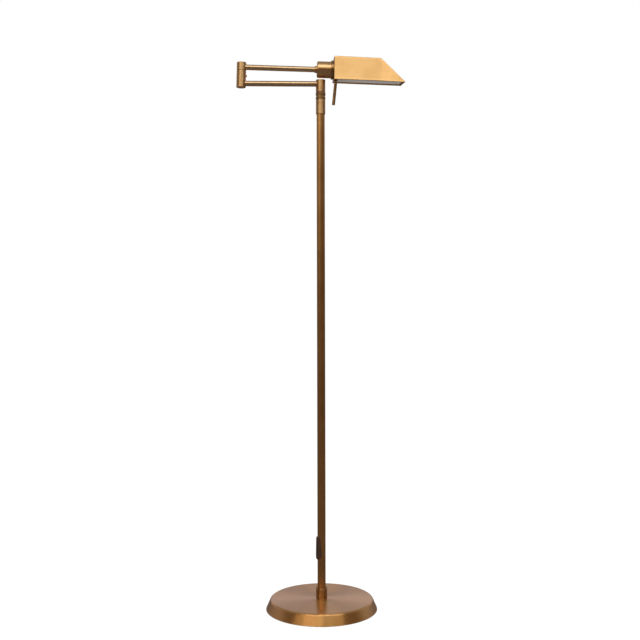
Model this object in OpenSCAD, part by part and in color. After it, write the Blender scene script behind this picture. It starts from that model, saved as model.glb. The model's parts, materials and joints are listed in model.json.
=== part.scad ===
// Floor lamp with a telescoping stem, two swinging arms and a turning metal shade.
// Frame: origin on the floor under the pole, +Z up, both arms along X, front towards -Y.

/* [Base] */
// Diameter of the base over its lower rim
base_d = 259; // [210:1:320]
// Height of the base
base_h = 25.6; // [18:0.1:32]
// Lean of the base's side from the vertical, in degrees
base_flare = 23.5; // [8:0.5:30]
// Radius of the rounding between the base's side and its top
base_edge_r = 5.5; // [4:0.5:9]
// Sheet thickness of the base cover
cover_t = 1.5; // [1:0.1:2.5]
// Height of the cover's rim above the floor
rim_gap = 1; // [0.5:0.1:2]
// Thickness of the felt pad
pad_t = 3; // [2:0.5:5]
// How far the felt pad stays inside the cover's rim
pad_inset = 4; // [2:0.5:10]
// Gap between the weight and the start of the cover's rounded edge
weight_gap = 5; // [2:0.5:12]
// Width of the cord channel under the weight
channel_w = 9; // [7:0.5:14]
// Height of the cord channel under the weight
channel_h = 10; // [7:0.5:12]
// Bore of the cord inlet grommet
inlet_bore_d = 6.6; // [5:0.1:8]
// Wall of the grommet's neck
inlet_neck_t = 1.3; // [1:0.1:2]
// Thickness of each of the grommet's lips
inlet_lip_t = 1.3; // [1:0.1:2]
// Width of the grommet's lips beyond its neck
inlet_lip_w = 1.8; // [1:0.1:3]

/* [Base fixing] */
// Diameter of the threaded nipple that holds the pole to the base
nipple_d = 10; // [8:0.5:12]
// Wall of the nipple
nipple_wall = 1.5; // [1:0.1:2]
// Across flats of the nipple's nut
nut_af = 17; // [15:0.5:20]
// Thickness of the nut
nut_t = 4; // [3:0.5:6]
// Diameter of the washer over the nut
washer_d = 26; // [22:1:32]
// Thickness of the washer
washer_t = 1.5; // [1:0.1:2.5]
// Room under the nut in the weight's recess
nut_room = 1; // [0.5:0.1:2]
// Length of the plug in the pole's foot
plug_len = 24; // [16:1:40]
// Height of the collar at the pole's foot
foot_collar_h = 24.6; // [18:0.1:40]
// Wall of the collar at the pole's foot
foot_collar_wall = 3.45; // [2:0.05:6]
// Rounding at the top of the foot collar
foot_collar_edge = 1.4; // [0.5:0.1:2]

/* [Pole] */
// Diameter of the pole
pole_d = 19; // [17:0.5:24]
// Wall of the pole
pole_wall = 1.2; // [0.8:0.1:1.6]
// Length of the pole
pole_len = 1155.4; // [800:0.1:1400]

/* [Height clamp] */
// Wall of the sleeve round the pole's top
sleeve_wall = 1.45; // [1:0.05:3]
// Length of pole that the sleeve holds
sleeve_grip = 27.5; // [18:0.5:40]
// Height of the sleeve above the pole's end
sleeve_land = 6; // [5:0.5:10]
// Length of the threaded spigot above the sleeve
spigot_len = 12; // [9:0.5:16]
// Wall of the threaded spigot
spigot_wall = 1; // [0.8:0.1:1.5]
// Wall of the nylon collet
collet_wall = 1.3; // [1:0.1:1.6]
// Length of the knurled lock collar
lock_len = 15.5; // [13:0.5:22]
// How far the lock collar's upper knurled band stands out from the sleeve
lock_proud = 0.6; // [0.2:0.1:2]
// Depth of the grooves between the knurled bands
lock_groove = 0.55; // [0.3:0.05:0.8]

/* [Stem] */
// Diameter of the sliding stem
stem_d = 14; // [12:0.5:14.5]
// Wall of the stem
stem_wall = 1; // [0.8:0.1:1.5]
// Length of the stem
stem_len = 330; // [310:1:500]
// Length of the guide bush at the stem's foot
guide_len = 20; // [12:1:40]
// Diameter of the swivel pin
swivel_d = 10; // [8:0.5:10.5]
// Thickness of the swivel washer
swivel_washer_t = 0.6; // [0.4:0.1:1]

/* [Arms] */
// Diameter of the two arm tubes
arm_d = 12.7; // [10:0.1:14]
// Wall of the arm tubes
arm_wall = 1; // [0.8:0.1:1.5]
// Distance from the pole's axis to the elbow's axis
arm_reach = 185; // [120:1:300]
// Distance from the pole's axis back to the back of the socket cup, with the arms folded
cup_behind = 9.5; // [4:0.5:16]
// Diameter of the pole hub and the elbow
hub_d = 22; // [21:0.5:26]
// Wall of the hubs round their cavities
hub_wall = 2.5; // [1.8:0.1:3]
// Height of the lower arm's axis above the pole hub's underside
arm_over_hub = 20; // [18.5:0.5:24]
// Height of the pole hub above the lower arm's axis
hub_over_arm = 9.3; // [9.3:0.1:20]
// Height of the bearing web at the foot of the pole hub
hub_web = 10; // [6:0.5:11]
// Thickness of the press-in caps
cap_t = 3; // [2:0.1:3.5]
// Rounding of the hub's and caps' edges
hub_edge = 0.9; // [0.4:0.1:1.2]
// Gap between the pole hub and the lock collar
hub_gap = 1.2; // [1:0.1:2]

/* [Elbow] */
// Lean of the elbow's axis towards the pole, in degrees
elbow_cant = 1.5; // [0:0.1:2]
// Depth of the elbow barrel below the lower arm's axis
barrel_below = 9.4; // [9.4:0.1:16]
// Height of the elbow hub below the upper arm's axis
elbow_hub_below = 8.4; // [8:0.1:12]
// Height of the elbow hub above the upper arm's axis
elbow_hub_above = 10.9; // [10.2:0.1:16]
// Clear height between the pole hub and the socket cup
cup_gap = 4.9; // [1:0.1:20]
// Diameter of the hollow elbow pin
elbow_pin_d = 12; // [9:0.5:12.5]
// Wall of the elbow pin
elbow_pin_wall = 2; // [1.5:0.1:2.5]
// Thickness of the washer between the elbow's two halves
elbow_washer_t = 0.3; // [0.2:0.05:0.6]
// Height of the elbow screw above the lower arm's axis
elbow_screw_z = 18; // [17.5:0.1:20]
// Diameter of the elbow screw's head
elbow_screw_head_d = 5.4; // [4:0.1:6]
// Thickness of the elbow screw's head
elbow_screw_head_t = 1.9; // [1:0.1:3]

/* [Socket cup] */
// Diameter of the socket cup
cup_d = 38; // [37:0.5:46]
// Length of the socket cup
cup_len = 32.9; // [30:0.1:45]
// Wall of the socket cup
cup_wall = 2; // [1.5:0.1:2.2]
// Rounding at the back of the cup
cup_edge = 3.5; // [2:0.1:5]
// Widening of the cup at its mouth, on the radius
cup_flare = 0.4; // [0:0.1:2]
// Length of the cup's flare
cup_flare_len = 8; // [6:0.5:16]
// Length of the cone between arm and cup
ferrule_len = 8.5; // [6:0.5:14]
// Diameter of the cone's small end
ferrule_small_d = 14.2; // [14.1:0.1:16]
// Diameter of the cone's large end
ferrule_large_d = 21; // [18:0.5:26]
// Diameter of the cone's threaded spigot
cup_spigot_d = 10; // [8:0.5:10]
// Length of the cone's threaded spigot
cup_spigot_len = 12.8; // [12.8:0.1:14]
// Wall of the journal that the shade turns on
journal_wall = 1; // [0.8:0.1:1.1]
// How far the journal reaches past the cup
journal_out = 21; // [20.5:0.5:26]

/* [Lamp] */
// Wall of the lamp holder
holder_wall = 1.3; // [1:0.1:1.3]
// Diameter of the lamp's screw cap
lamp_cap_d = 26.2; // [26:0.1:26.4]
// Diameter of the tubular lamp
lamp_d = 28; // [27:0.5:34]
// Thickness of the lamp's glass
lamp_glass_t = 0.8; // [0.6:0.1:1.2]
// Gap between the lamp's end and the shade's front
lamp_gap = 6; // [3:0.5:30]

/* [Shade] */
// Length of the shade along its open side
shade_len = 164; // [150:1:260]
// Width of the shade across its open side
shade_w = 96; // [86:1:140]
// Depth of the shade below the arm's axis, at its back
shade_below = 25; // [24.6:0.1:50]
// Height of the shade above the arm's axis, at its back
shade_above = 29.6; // [26:0.1:40]
// Fall of the shade's top from the arm's line towards its front, in degrees
shade_top_fall = 0.9; // [0:0.1:3]
// Fall of the shade's open edge from the arm's line towards its front, in degrees
shade_edge_fall = 0.4; // [0:0.1:3]
// Lean of the shade's two sides from the vertical, in degrees
shade_side_lean = 20; // [5:1:22]
// Lean of the shade's front from the vertical, in degrees
shade_front_lean = 46; // [20:1:50]
// Sheet thickness of the shade
shade_t = 1; // [0.7:0.1:1.5]
// Sheet thickness of the reflector inside the shade
liner_t = 0.5; // [0.3:0.1:0.8]
// Height of the bare rim between the shade's open edge and the reflector
liner_up = 3.4; // [1:0.1:6]
// Turn of the shade about the arm at rest, in degrees
shade_turn = 7.5; // [-20:0.5:20]
// Diameter of the shade collar's flange
shade_flange_d = 44; // [42:0.5:50]
// Thickness of the flange's outer step
flange_t = 3.7; // [2:0.1:4.5]
// Thickness of the flange's inner step
flange_step_t = 2; // [1:0.1:2.5]
// Wall of the shade collar's tube
collar_wall = 2; // [1.5:0.1:2]
// Diameter of the lock ring inside the shade
ring_d = 48; // [46:0.5:48.5]
// Length of the lock ring
ring_len = 10; // [9:0.5:10]
// Diameter of the handle rod
rod_d = 7.3; // [6:0.1:8]
// Distance from the arm's axis to the rod's free end
rod_reach = 80.4; // [60:0.1:120]
// Lean of the handle rod towards the pole, in degrees
rod_lean = 4; // [0:0.1:5]

/* [Slide dimmer] */
// Height of the dimmer's lower end centre above the floor
dimmer_z = 124.5; // [80:0.5:400]
// Direction that the dimmer faces, in degrees from +X
dimmer_dir = 215; // [180:1:270]
// Length of the dimmer's housing
dimmer_len = 54; // [52:0.5:70]
// Width of the housing's lower end
dimmer_w = 16.4; // [15:0.1:18]
// Width of the housing's upper end
dimmer_tip_w = 11; // [9.5:0.1:14]
// How far the housing stands out from the pole
dimmer_out = 3.8; // [3.6:0.1:6]
// Wall of the housing
dimmer_wall = 1.3; // [1:0.1:1.4]
// Travel of the slider
dimmer_travel = 20; // [12:0.5:20]
// Length of the slider's knob
knob_len = 10; // [7:0.5:10]
// Width of the slider's knob
knob_w = 4.8; // [4:0.1:6]
// How far the knob stands out from the housing
knob_out = 0.5; // [0.3:0.1:1.5]

/* [Fits] */
// Radial clearance of pieces fixed into each other
slip = 0.05; // [0.02:0.01:0.1]
// Radial clearance of pieces that turn or slide in each other
run = 0.05; // [0.02:0.01:0.09]
// Gap along the axis between faces that turn on each other
thrust = 0.06; // [0.04:0.01:0.1]
// Gap between moving pieces that don't guide each other
air = 0.4; // [0.3:0.05:0.6]

/* [Hidden] */
$fn = 96;

// colours
antique = [0.56, 0.38, 0.22];
light_antique = [0.80, 0.62, 0.40];
raw_brass = [0.78, 0.62, 0.30];
iron = [0.24, 0.24, 0.25];
zinc = [0.70, 0.71, 0.73];
nylon = [0.88, 0.86, 0.80];
felt = [0.16, 0.15, 0.15];
brown = [0.22, 0.13, 0.08];
black = [0.10, 0.10, 0.10];
enamel = [0.90, 0.88, 0.84];
opal = [0.96, 0.95, 0.92];

cut = 1;            // how far a cutting body runs past the face that it cuts
big = 400;          // larger than anything that is cut or crossed

// base
base_r = base_d / 2;
edge_z = base_h - base_edge_r;
edge_x = base_r - (base_h - rim_gap) * tan(base_flare)
  - base_edge_r * (1 - sin(base_flare)) / cos(base_flare);
side_top_z = edge_z + base_edge_r * sin(base_flare);
weight_r = edge_x - weight_gap;
weight_top = base_h - cover_t;
inlet_z = (rim_gap + side_top_z) / 2;
inlet_y = base_r - (inlet_z - rim_gap) * tan(base_flare);
inlet_r = inlet_bore_d / 2;
neck_r = inlet_r + inlet_neck_t;

// base fixing
nipple_r = nipple_d / 2;
nut_z = pad_t + nut_room;
washer_z = nut_z + nut_t;
recess_top = washer_z + washer_t;
nipple_top = base_h + plug_len - 4;
lead_r = 2.2;
nipple_play = 0.4;

// pole and height clamp
pole_r = pole_d / 2;
pole_bore_r = pole_r - pole_wall;
pole_top = base_h + pole_len;
sleeve_r = pole_r + slip + sleeve_wall;
sleeve_z = pole_top - sleeve_grip;
sleeve_top = pole_top + sleeve_land;
stem_r = stem_d / 2;
collet_r = stem_r + run + collet_wall;
spigot_r = collet_r + slip + spigot_wall;
spigot_top = sleeve_top + spigot_len;
collet_z = sleeve_top - 3;
collet_top = spigot_top + 1.3;
lock_z = sleeve_top + 0.3;
lock_top = lock_z + lock_len;
lock_r = sleeve_r + lock_proud;
lock_lid = 1.8;

// stem and swivel
hub_z = lock_top + hub_gap;
stem_top = hub_z - thrust - swivel_washer_t;
stem_foot = stem_top - stem_len;
swivel_r = swivel_d / 2;
swivel_top = hub_z + hub_web + 3;
swivel_foot = stem_top - 24;
clip_t = 1;
clip_depth = 0.6;

// arms and elbow
arm_r = arm_d / 2;
hub_r = hub_d / 2;
hub_h = arm_over_hub + hub_over_arm;
cavity_r = hub_r - hub_wall;
arm_z = hub_z + arm_over_hub;
cup_r = cup_d / 2;
arm_rise = hub_over_arm + cup_gap + cup_r + arm_reach * tan(elbow_cant);
barrel_top = arm_rise - elbow_hub_below - thrust - elbow_washer_t;
elbow_pin_r = elbow_pin_d / 2;
elbow_hub_web = 4.4;
barrel_web_foot = 15;
elbow_nut_t = 4;
elbow_nut_af = 14;
spring_t = 0.8;

// socket cup, in distances along the upper arm from the elbow's axis
cup_x = arm_reach - cup_behind;
cup_mouth = cup_x + cup_len;
cup_bore_r = cup_r - cup_wall;
tube_end = cup_x - 2;
cup_spigot_r = cup_spigot_d / 2;
cup_nut_t = 4;
journal_r = cup_bore_r - slip;
journal_bore_r = journal_r - journal_wall;
journal_back = cup_x + cup_wall;
journal_web = 1.5;
journal_end = cup_mouth + journal_out;
flange_x = cup_mouth + air;
collar_end = journal_end - 3;

// lamp holder and lamp
lamp_cap_r = lamp_cap_d / 2;
shell_t = 0.4;
holder_bore_r = lamp_cap_r + slip + shell_t + slip;
holder_r = holder_bore_r + holder_wall;
holder_back = cup_x + 9;
holder_floor = holder_back + 4;
holder_front = journal_end - 6;
lamp_cap_x = holder_floor + 3.5;
lamp_cap_end = holder_front - 5;
lamp_r = lamp_d / 2;

// shade
shade_x = flange_x + flange_t + flange_step_t;
shade_end = shade_x + shade_len;
shade_half = shade_w / 2;
collar_r = journal_r + run + collar_wall;
flange_r = shade_flange_d / 2;
ring_r = ring_d / 2;
ring_x = shade_x + shade_t + slip;
rod_r = rod_d / 2;
rod_x = ring_x + ring_len / 2;
rod_thread_r = 2;
liner_hole_r = ring_r + air;
shade_front_foot = -shade_below - shade_len * tan(shade_edge_fall);
lamp_end = shade_end - (lamp_r - shade_front_foot) * tan(shade_front_lean)
  - (shade_t + liner_t) / cos(shade_front_lean) - lamp_gap;

// dimmer
dimmer_r = pole_r + dimmer_out;
drop_r = dimmer_w / 2;
tip_r = dimmer_tip_w / 2;
drop_span = dimmer_len - drop_r - tip_r;
plate_len = knob_len + 4;
plate_z = 1.5;
plate_half = 5.1;
board_t = 0.5;
dimmer_roof_r = dimmer_r - dimmer_wall;
dimmer_screw_r = 1.5;
dimmer_screw_zs = [-4.3, drop_span + 1.2];

function arc(cx, cy, r, from, to, steps = 8) =
  [for (i = [0 : steps]) let (a = from + (to - from) * i / steps) [cx + r * cos(a), cy + r * sin(a)]];

// A turned piece about Z from its half outline of [radius, height] points
module turned(outline) {
  rotate_extrude() polygon(outline);
}

// A turned piece about X from its half outline of [radius, x] points
module turned_x(outline) {
  rotate([0, 90, 0]) turned(outline);
}

module tube(outer, inner, z0, z1) {
  turned([[inner, z0], [outer, z0], [outer, z1], [inner, z1]]);
}

module tube_x(outer, inner, x0, x1) {
  turned_x([[inner, x0], [outer, x0], [outer, x1], [inner, x1]]);
}

module rod_along_x(r, x0, x1) {
  translate([x0, 0, 0]) rotate([0, 90, 0]) cylinder(r = r, h = x1 - x0);
}

// A hexagon nut about Z with its foot at z0
module hex_nut(across_flats, bore_r, z0, height) {
  translate([0, 0, z0]) difference() {
    cylinder(r = across_flats / 2 / cos(30), h = height, $fn = 6);
    translate([0, 0, -cut]) cylinder(r = bore_r, h = height + 2 * cut);
  }
}

// Frame of the elbow: its axis is Z, its origin on the lower arm's axis
module at_elbow() {
  translate([-arm_reach, 0, arm_z]) rotate([0, elbow_cant, 0]) children();
}

// Frame of the upper arm: X along the arm from the elbow's axis
module at_upper_arm() {
  at_elbow() translate([0, 0, arm_rise]) children();
}

// Frame of the shade: the upper arm's, turned about the arm
module at_shade() {
  at_upper_arm() rotate([shade_turn, 0, 0]) children();
}

// Frame of the dimmer: X out of the pole, Z up from the lower end's centre
module at_dimmer() {
  translate([0, 0, dimmer_z]) rotate([0, 0, dimmer_dir]) children();
}

// Frame of the cord inlet: Z out of the base's sloping side
module at_inlet() {
  translate([0, inlet_y, inlet_z]) rotate([-(90 - base_flare), 0, 0]) children();
}

// ---- base ----

module base_pad() {
  color(felt) cylinder(r = base_r - pad_inset, h = pad_t);
}

module base_weight() {
  color(iron) difference() {
    translate([0, 0, pad_t]) cylinder(r = weight_r, h = weight_top - pad_t);
    cylinder(r = nipple_r + nipple_play, h = base_h);
    cylinder(r = washer_d / 2 + cut, h = recess_top);
    translate([-channel_w / 2, 0, 0]) cube([channel_w, base_r, pad_t + channel_h]);
  }
}

module base_cover() {
  hole_r = nipple_r + nipple_play;
  color(antique) difference() {
    turned(concat(
      [[hole_r, base_h]],
      arc(edge_x, edge_z, base_edge_r, 90, base_flare),
      [[base_r, rim_gap], [base_r - cover_t / cos(base_flare), rim_gap]],
      arc(edge_x, edge_z, base_edge_r - cover_t, base_flare, 90),
      [[hole_r, base_h - cover_t]]));
    at_inlet() translate([0, 0, -5]) cylinder(r = neck_r + slip, h = 10);
  }
}

module cord_grommet() {
  lip_r = neck_r + inlet_lip_w;
  sag = lip_r * lip_r / 2 / (inlet_y - cover_t);
  inside = -cover_t - slip - sag;
  color(black) at_inlet() turned([
    [inlet_r, inside - inlet_lip_t], [lip_r, inside - inlet_lip_t], [lip_r, inside],
    [neck_r, inside], [neck_r, slip], [lip_r, slip], [lip_r - 0.5, slip + inlet_lip_t],
    [inlet_r, slip + inlet_lip_t]]);
}

module base_nipple() {
  color(zinc) tube(nipple_r, nipple_r - nipple_wall, nut_z - nut_room / 2, nipple_top);
}

module base_washer() {
  color(zinc) tube(washer_d / 2, nipple_r + slip, washer_z, recess_top);
}

module base_nut() {
  color(zinc) hex_nut(nut_af, nipple_r + slip, nut_z, nut_t);
}

module base_collar() {
  top = base_h + foot_collar_h;
  r = pole_r + slip + foot_collar_wall;
  color(antique) turned(concat(
    [[pole_r + slip, base_h], [r, base_h]],
    arc(r - foot_collar_edge, top - foot_collar_edge, foot_collar_edge, 0, 90),
    [[pole_r + slip, top]]));
}

// ---- pole ----

module pole_tube() {
  color(antique) difference() {
    tube(pole_r, pole_bore_r, base_h, pole_top);
    at_dimmer() {
      translate([0, 0, drop_span / 2]) rod_along_x(2.5, 0, pole_d);
      for (z = dimmer_screw_zs) translate([0, 0, z]) rod_along_x(dimmer_screw_r + slip, 0, pole_d);
    }
  }
}

module pole_foot_plug() {
  color(raw_brass) tube(pole_bore_r - slip, nipple_r + slip, base_h, base_h + plug_len);
}

module pole_lead() {
  color(black) translate([0, 0, nut_z]) cylinder(r = lead_r, h = stem_foot - 10 - nut_z);
}

module clamp_sleeve() {
  bevel = 0.5;
  color(antique) turned([
    [pole_r + slip, sleeve_z], [sleeve_r - bevel, sleeve_z], [sleeve_r, sleeve_z + bevel],
    [sleeve_r, sleeve_top - bevel], [sleeve_r - bevel, sleeve_top], [spigot_r, sleeve_top],
    [spigot_r, spigot_top], [collet_r + slip, spigot_top], [collet_r + slip, collet_z],
    [stem_r + air, collet_z], [stem_r + air, pole_top], [pole_r + slip, pole_top]]);
}

module clamp_collet() {
  slit = 1.2;
  color(nylon) difference() {
    turned([[stem_r + run, collet_z], [collet_r, collet_z], [collet_r, collet_top - 1],
      [collet_r - 0.7, collet_top], [stem_r + run, collet_top]]);
    translate([0, -slit / 2, collet_z + 3]) cube([sleeve_r, slit, lock_len * 2]);
  }
}

module lock_collar() {
  neck = lock_r - lock_groove;
  lower = lock_r - 0.2;
  color(light_antique) turned([
    [spigot_r + run, lock_z], [lower - 0.8, lock_z], [lower - 0.8, lock_z + 1],
    [lower, lock_z + 1.3], [lower, lock_z + 6.2], [neck, lock_z + 6.8],
    [neck, lock_top - 6], [lock_r, lock_top - 5.4], [lock_r, lock_top - 0.6],
    [lock_r - 0.6, lock_top], [stem_r + air, lock_top], [stem_r + air, lock_top - lock_lid],
    [spigot_r + run, lock_top - lock_lid]]);
}

// ---- slide dimmer on the pole ----

// Drop shape: a wide round lower end and a narrower round upper end with straight flanks
module drop_outline() {
  lean = asin((drop_r - tip_r) / drop_span);
  polygon(concat(
    arc(0, 0, drop_r, 180 - lean, 360 + lean, 24),
    arc(0, drop_span, tip_r, lean, 180 - lean, 16)));
}

// Part of a ring round the pole, between two radii, over a width and a height
module pole_segment(r0, r1, half_width, z0, z1) {
  intersection() {
    tube(r1, r0, z0, z1);
    translate([0, -half_width, z0]) cube([r1 + cut, 2 * half_width, z1 - z0]);
  }
}

module dimmer_housing() {
  room = 0.3;
  color(brown) at_dimmer() difference() {
    intersection() {
      rotate([90, 0, 90]) linear_extrude(height = dimmer_r + cut) drop_outline();
      tube(dimmer_r, pole_r + slip, -drop_r - cut, dimmer_len);
    }
    pole_segment(pole_r, dimmer_roof_r, plate_half + room,
      plate_z - room, plate_z + plate_len + dimmer_travel + room);
    translate([pole_r, -knob_w / 2 - room, plate_z + 2 - room])
      cube([dimmer_r, knob_w + 2 * room, knob_len + dimmer_travel + 2 * room]);
    for (z = dimmer_screw_zs) translate([0, 0, z]) {
      rod_along_x(dimmer_screw_r + slip, pole_r - cut, dimmer_r);
      rod_along_x(2.4 + slip, dimmer_r - 1.5, dimmer_r + cut);
    }
  }
}

module dimmer_board() {
  color([0.20, 0.36, 0.22]) at_dimmer()
    pole_segment(pole_r + slip, pole_r + slip + board_t, plate_half,
      plate_z, plate_z + plate_len + dimmer_travel);
}

module dimmer_slider() {
  color(black) at_dimmer() {
    pole_segment(pole_r + board_t + air, dimmer_roof_r - 0.2, plate_half, plate_z, plate_z + plate_len);
    pole_segment(dimmer_roof_r - 0.5, dimmer_r + knob_out, knob_w / 2, plate_z + 2, plate_z + 2 + knob_len);
  }
}

module dimmer_screws() {
  color(zinc) at_dimmer() for (z = dimmer_screw_zs) translate([0, 0, z]) difference() {
    union() {
      rod_along_x(dimmer_screw_r, pole_bore_r - cut, dimmer_r - 1);
      rod_along_x(2.4, dimmer_r - 1.45, dimmer_r - 0.25);
    }
    translate([dimmer_r - 0.7, -0.3, -3]) cube([2, 0.6, 6]);
  }
}

// ---- sliding stem and swivel ----

module stem_tube() {
  color(antique) tube(stem_r, stem_r - stem_wall, stem_foot, stem_top);
}

module stem_guide() {
  color(nylon) tube(pole_bore_r - run, stem_r + slip, stem_foot, stem_foot + guide_len);
}

module swivel_pin() {
  bore = 3;
  shank = stem_r - stem_wall - slip;
  groove_z = hub_z + hub_web + thrust;
  color(raw_brass) turned([
    [bore, swivel_foot], [shank, swivel_foot], [shank, stem_top], [swivel_r, stem_top],
    [swivel_r, groove_z], [swivel_r - clip_depth, groove_z],
    [swivel_r - clip_depth, groove_z + clip_t], [swivel_r, groove_z + clip_t],
    [swivel_r, swivel_top], [bore, swivel_top]]);
}

module swivel_washer() {
  color(nylon) tube(hub_r - 1, swivel_r + slip, stem_top, stem_top + swivel_washer_t);
}

// An open ring in the swivel pin's groove, just over the hub's bearing web
module swivel_clip() {
  z = hub_z + hub_web + thrust;
  color(zinc) difference() {
    tube(swivel_r + 2, swivel_r - clip_depth + slip, z + 0.02, z + clip_t - 0.02);
    translate([0, -1.5, z - cut]) cube([hub_r, 3, clip_t + 2 * cut]);
  }
}

module stem_lead() {
  color(black) translate([0, 0, stem_foot + 5])
    cylinder(r = lead_r, h = swivel_top - stem_foot - 5);
}

// ---- lower arm ----

// Outline of a hub: edges rounded, a bearing web with its own bore, the rest a wide cavity
function hub_outline(z0, z1, web_z0, web_z1, bore_r, taper) = concat(
  web_z0 > z0 ? [[cavity_r, web_z0], [cavity_r, z0]] : [[bore_r, z0]],
  [[hub_r - hub_edge, z0], [hub_r, z0 + taper]],
  arc(hub_r - hub_edge, z1 - hub_edge, hub_edge, 0, 90, 5),
  web_z1 < z1 ? [[cavity_r, z1], [cavity_r, web_z1]] : [],
  [[bore_r, web_z1]],
  web_z0 > z0 ? [[bore_r, web_z0]] : []);

// A press-in cap that closes a hub's cavity between two heights
module cap(z0, z1) {
  color(antique) translate([0, 0, z0]) cylinder(r = cavity_r - slip, h = z1 - z0);
}

module pole_hub() {
  color(light_antique) difference() {
    turned(hub_outline(hub_z, hub_z + hub_h, hub_z, hub_z + hub_web, swivel_r + run, 3));
    translate([0, 0, arm_z]) rod_along_x(arm_r + slip, -hub_d, 0);
  }
}

module hub_cap() {
  cap(hub_z + hub_h - cap_t, hub_z + hub_h);
}

module lower_arm_tube() {
  color(antique) translate([0, 0, arm_z])
    tube_x(arm_r, arm_r - arm_wall, -arm_reach + cavity_r + 0.2, -cavity_r - 0.2);
}

module elbow_barrel() {
  color(antique) difference() {
    at_elbow() turned(hub_outline(-barrel_below, barrel_top, barrel_web_foot, barrel_top,
      elbow_pin_r + run, 1));
    translate([0, 0, arm_z]) rod_along_x(arm_r + slip, -arm_reach, -arm_reach + hub_d);
    at_elbow() translate([0, 0, elbow_screw_z]) rod_along_x(1.5 + slip, 0, hub_d);
  }
}

module elbow_foot_cap() {
  at_elbow() cap(-barrel_below, cap_t - barrel_below);
}

module elbow_screw() {
  head_r = elbow_screw_head_d / 2;
  tip = elbow_pin_r + air;
  seat = hub_r + slip;
  face = seat + elbow_screw_head_t;
  color(light_antique) at_elbow() translate([0, 0, elbow_screw_z]) difference() {
    turned_x([[0, tip], [1.5, tip], [1.5, seat], [head_r, seat], [head_r, face - 0.6],
      [head_r - 0.6, face], [0, face]]);
    translate([face - 0.8, -head_r, -0.4]) cube([2, 2 * head_r, 0.8]);
  }
}

module lower_arm_lead() {
  color(black) translate([0, 0, arm_z]) rod_along_x(lead_r, -arm_reach + 3, -lead_r - 2);
}

// ---- elbow and upper arm ----

module elbow_washer() {
  z = arm_rise - elbow_hub_below;
  color(nylon) at_elbow() tube(hub_r - 0.8, elbow_pin_r + slip, z - elbow_washer_t, z);
}

module elbow_hub() {
  z0 = arm_rise - elbow_hub_below;
  z1 = arm_rise + elbow_hub_above;
  color(antique) at_elbow() difference() {
    turned(hub_outline(z0, z1, z0, z0 + elbow_hub_web, elbow_pin_r + slip, 1));
    translate([0, 0, arm_rise]) rod_along_x(arm_r + slip, 0, hub_d);
  }
}

module elbow_cap() {
  at_elbow() cap(arm_rise + elbow_hub_above - cap_t, arm_rise + elbow_hub_above);
}

// Hollow pin: its head lies on the elbow hub's web, its foot takes the nut
module elbow_pin() {
  head_z = arm_rise - elbow_hub_below + elbow_hub_web;
  foot = barrel_web_foot - spring_t - elbow_nut_t - 2;
  bore = elbow_pin_r - elbow_pin_wall;
  color(raw_brass) at_elbow() turned([
    [bore, foot], [elbow_pin_r, foot], [elbow_pin_r, head_z], [cavity_r - air, head_z],
    [cavity_r - air, head_z + 1], [bore, head_z + 1]]);
}

module elbow_spring() {
  top = barrel_web_foot - thrust;
  color(zinc) at_elbow() tube(cavity_r - air, elbow_pin_r + slip, top - spring_t, top);
}

module elbow_nut() {
  color(zinc) at_elbow() hex_nut(elbow_nut_af, elbow_pin_r + slip,
    barrel_web_foot - thrust - spring_t - elbow_nut_t, elbow_nut_t);
}

module upper_arm_tube() {
  color(antique) at_upper_arm() tube_x(arm_r, arm_r - arm_wall, cavity_r + 0.2, tube_end);
}

module arm_ferrule() {
  start = cup_x - ferrule_len;
  spigot_end = cup_x + cup_spigot_len;
  bore = 3.4;
  color(light_antique) at_upper_arm() turned_x([
    [arm_r + slip, start], [ferrule_small_d / 2, start], [ferrule_large_d / 2, cup_x - 0.6],
    [ferrule_large_d / 2, cup_x], [cup_spigot_r, cup_x], [cup_spigot_r, spigot_end],
    [bore, spigot_end], [bore, tube_end], [arm_r + slip, tube_end]]);
}

module socket_cup() {
  hole_r = cup_spigot_r + slip;
  color(light_antique) at_upper_arm() turned_x(concat(
    [[hole_r, cup_x]],
    arc(cup_r - cup_edge, cup_x + cup_edge, cup_edge, 270, 360),
    [[cup_r, cup_mouth - cup_flare_len], [cup_r + cup_flare * 0.35, cup_mouth - cup_flare_len * 0.4],
      [cup_r + cup_flare, cup_mouth], [cup_bore_r, cup_mouth], [cup_bore_r, cup_x + cup_wall],
      [hole_r, cup_x + cup_wall]]));
}

module cup_nut() {
  color(zinc) at_upper_arm() translate([journal_back + journal_web, 0, 0]) rotate([0, 90, 0])
    hex_nut(nut_af - 3, cup_spigot_r + slip, 0, cup_nut_t);
}

// Thin tube that carries the shade, clamped in the cup by the nut
module journal_tube() {
  hole_r = cup_spigot_r + slip;
  groove = collar_end + thrust;
  color(raw_brass) at_upper_arm() turned_x([
    [hole_r, journal_back], [journal_r, journal_back], [journal_r, groove],
    [journal_r - 0.5, groove], [journal_r - 0.5, groove + clip_t], [journal_r, groove + clip_t],
    [journal_r, journal_end], [journal_bore_r, journal_end],
    [journal_bore_r, journal_back + journal_web], [hole_r, journal_back + journal_web]]);
}

module journal_clip() {
  x = collar_end + thrust;
  color(zinc) at_upper_arm() difference() {
    tube_x(journal_r + 1.5, journal_r - 0.5 + slip, x + 0.02, x + clip_t - 0.02);
    translate([x - cut, -2, 0]) cube([clip_t + 2 * cut, 4, cup_d]);
  }
}

module lamp_holder() {
  color(black) at_upper_arm() turned_x([
    [cup_spigot_r + slip, holder_back], [holder_r - 1, holder_back], [holder_r, holder_back + 1],
    [holder_r, holder_front], [holder_bore_r, holder_front], [holder_bore_r, holder_floor],
    [cup_spigot_r + slip, holder_floor]]);
}

module thread_shell() {
  r = holder_bore_r - slip;
  color(raw_brass) at_upper_arm() tube_x(r, r - shell_t, holder_floor + 1, holder_front - 2);
}

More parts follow.
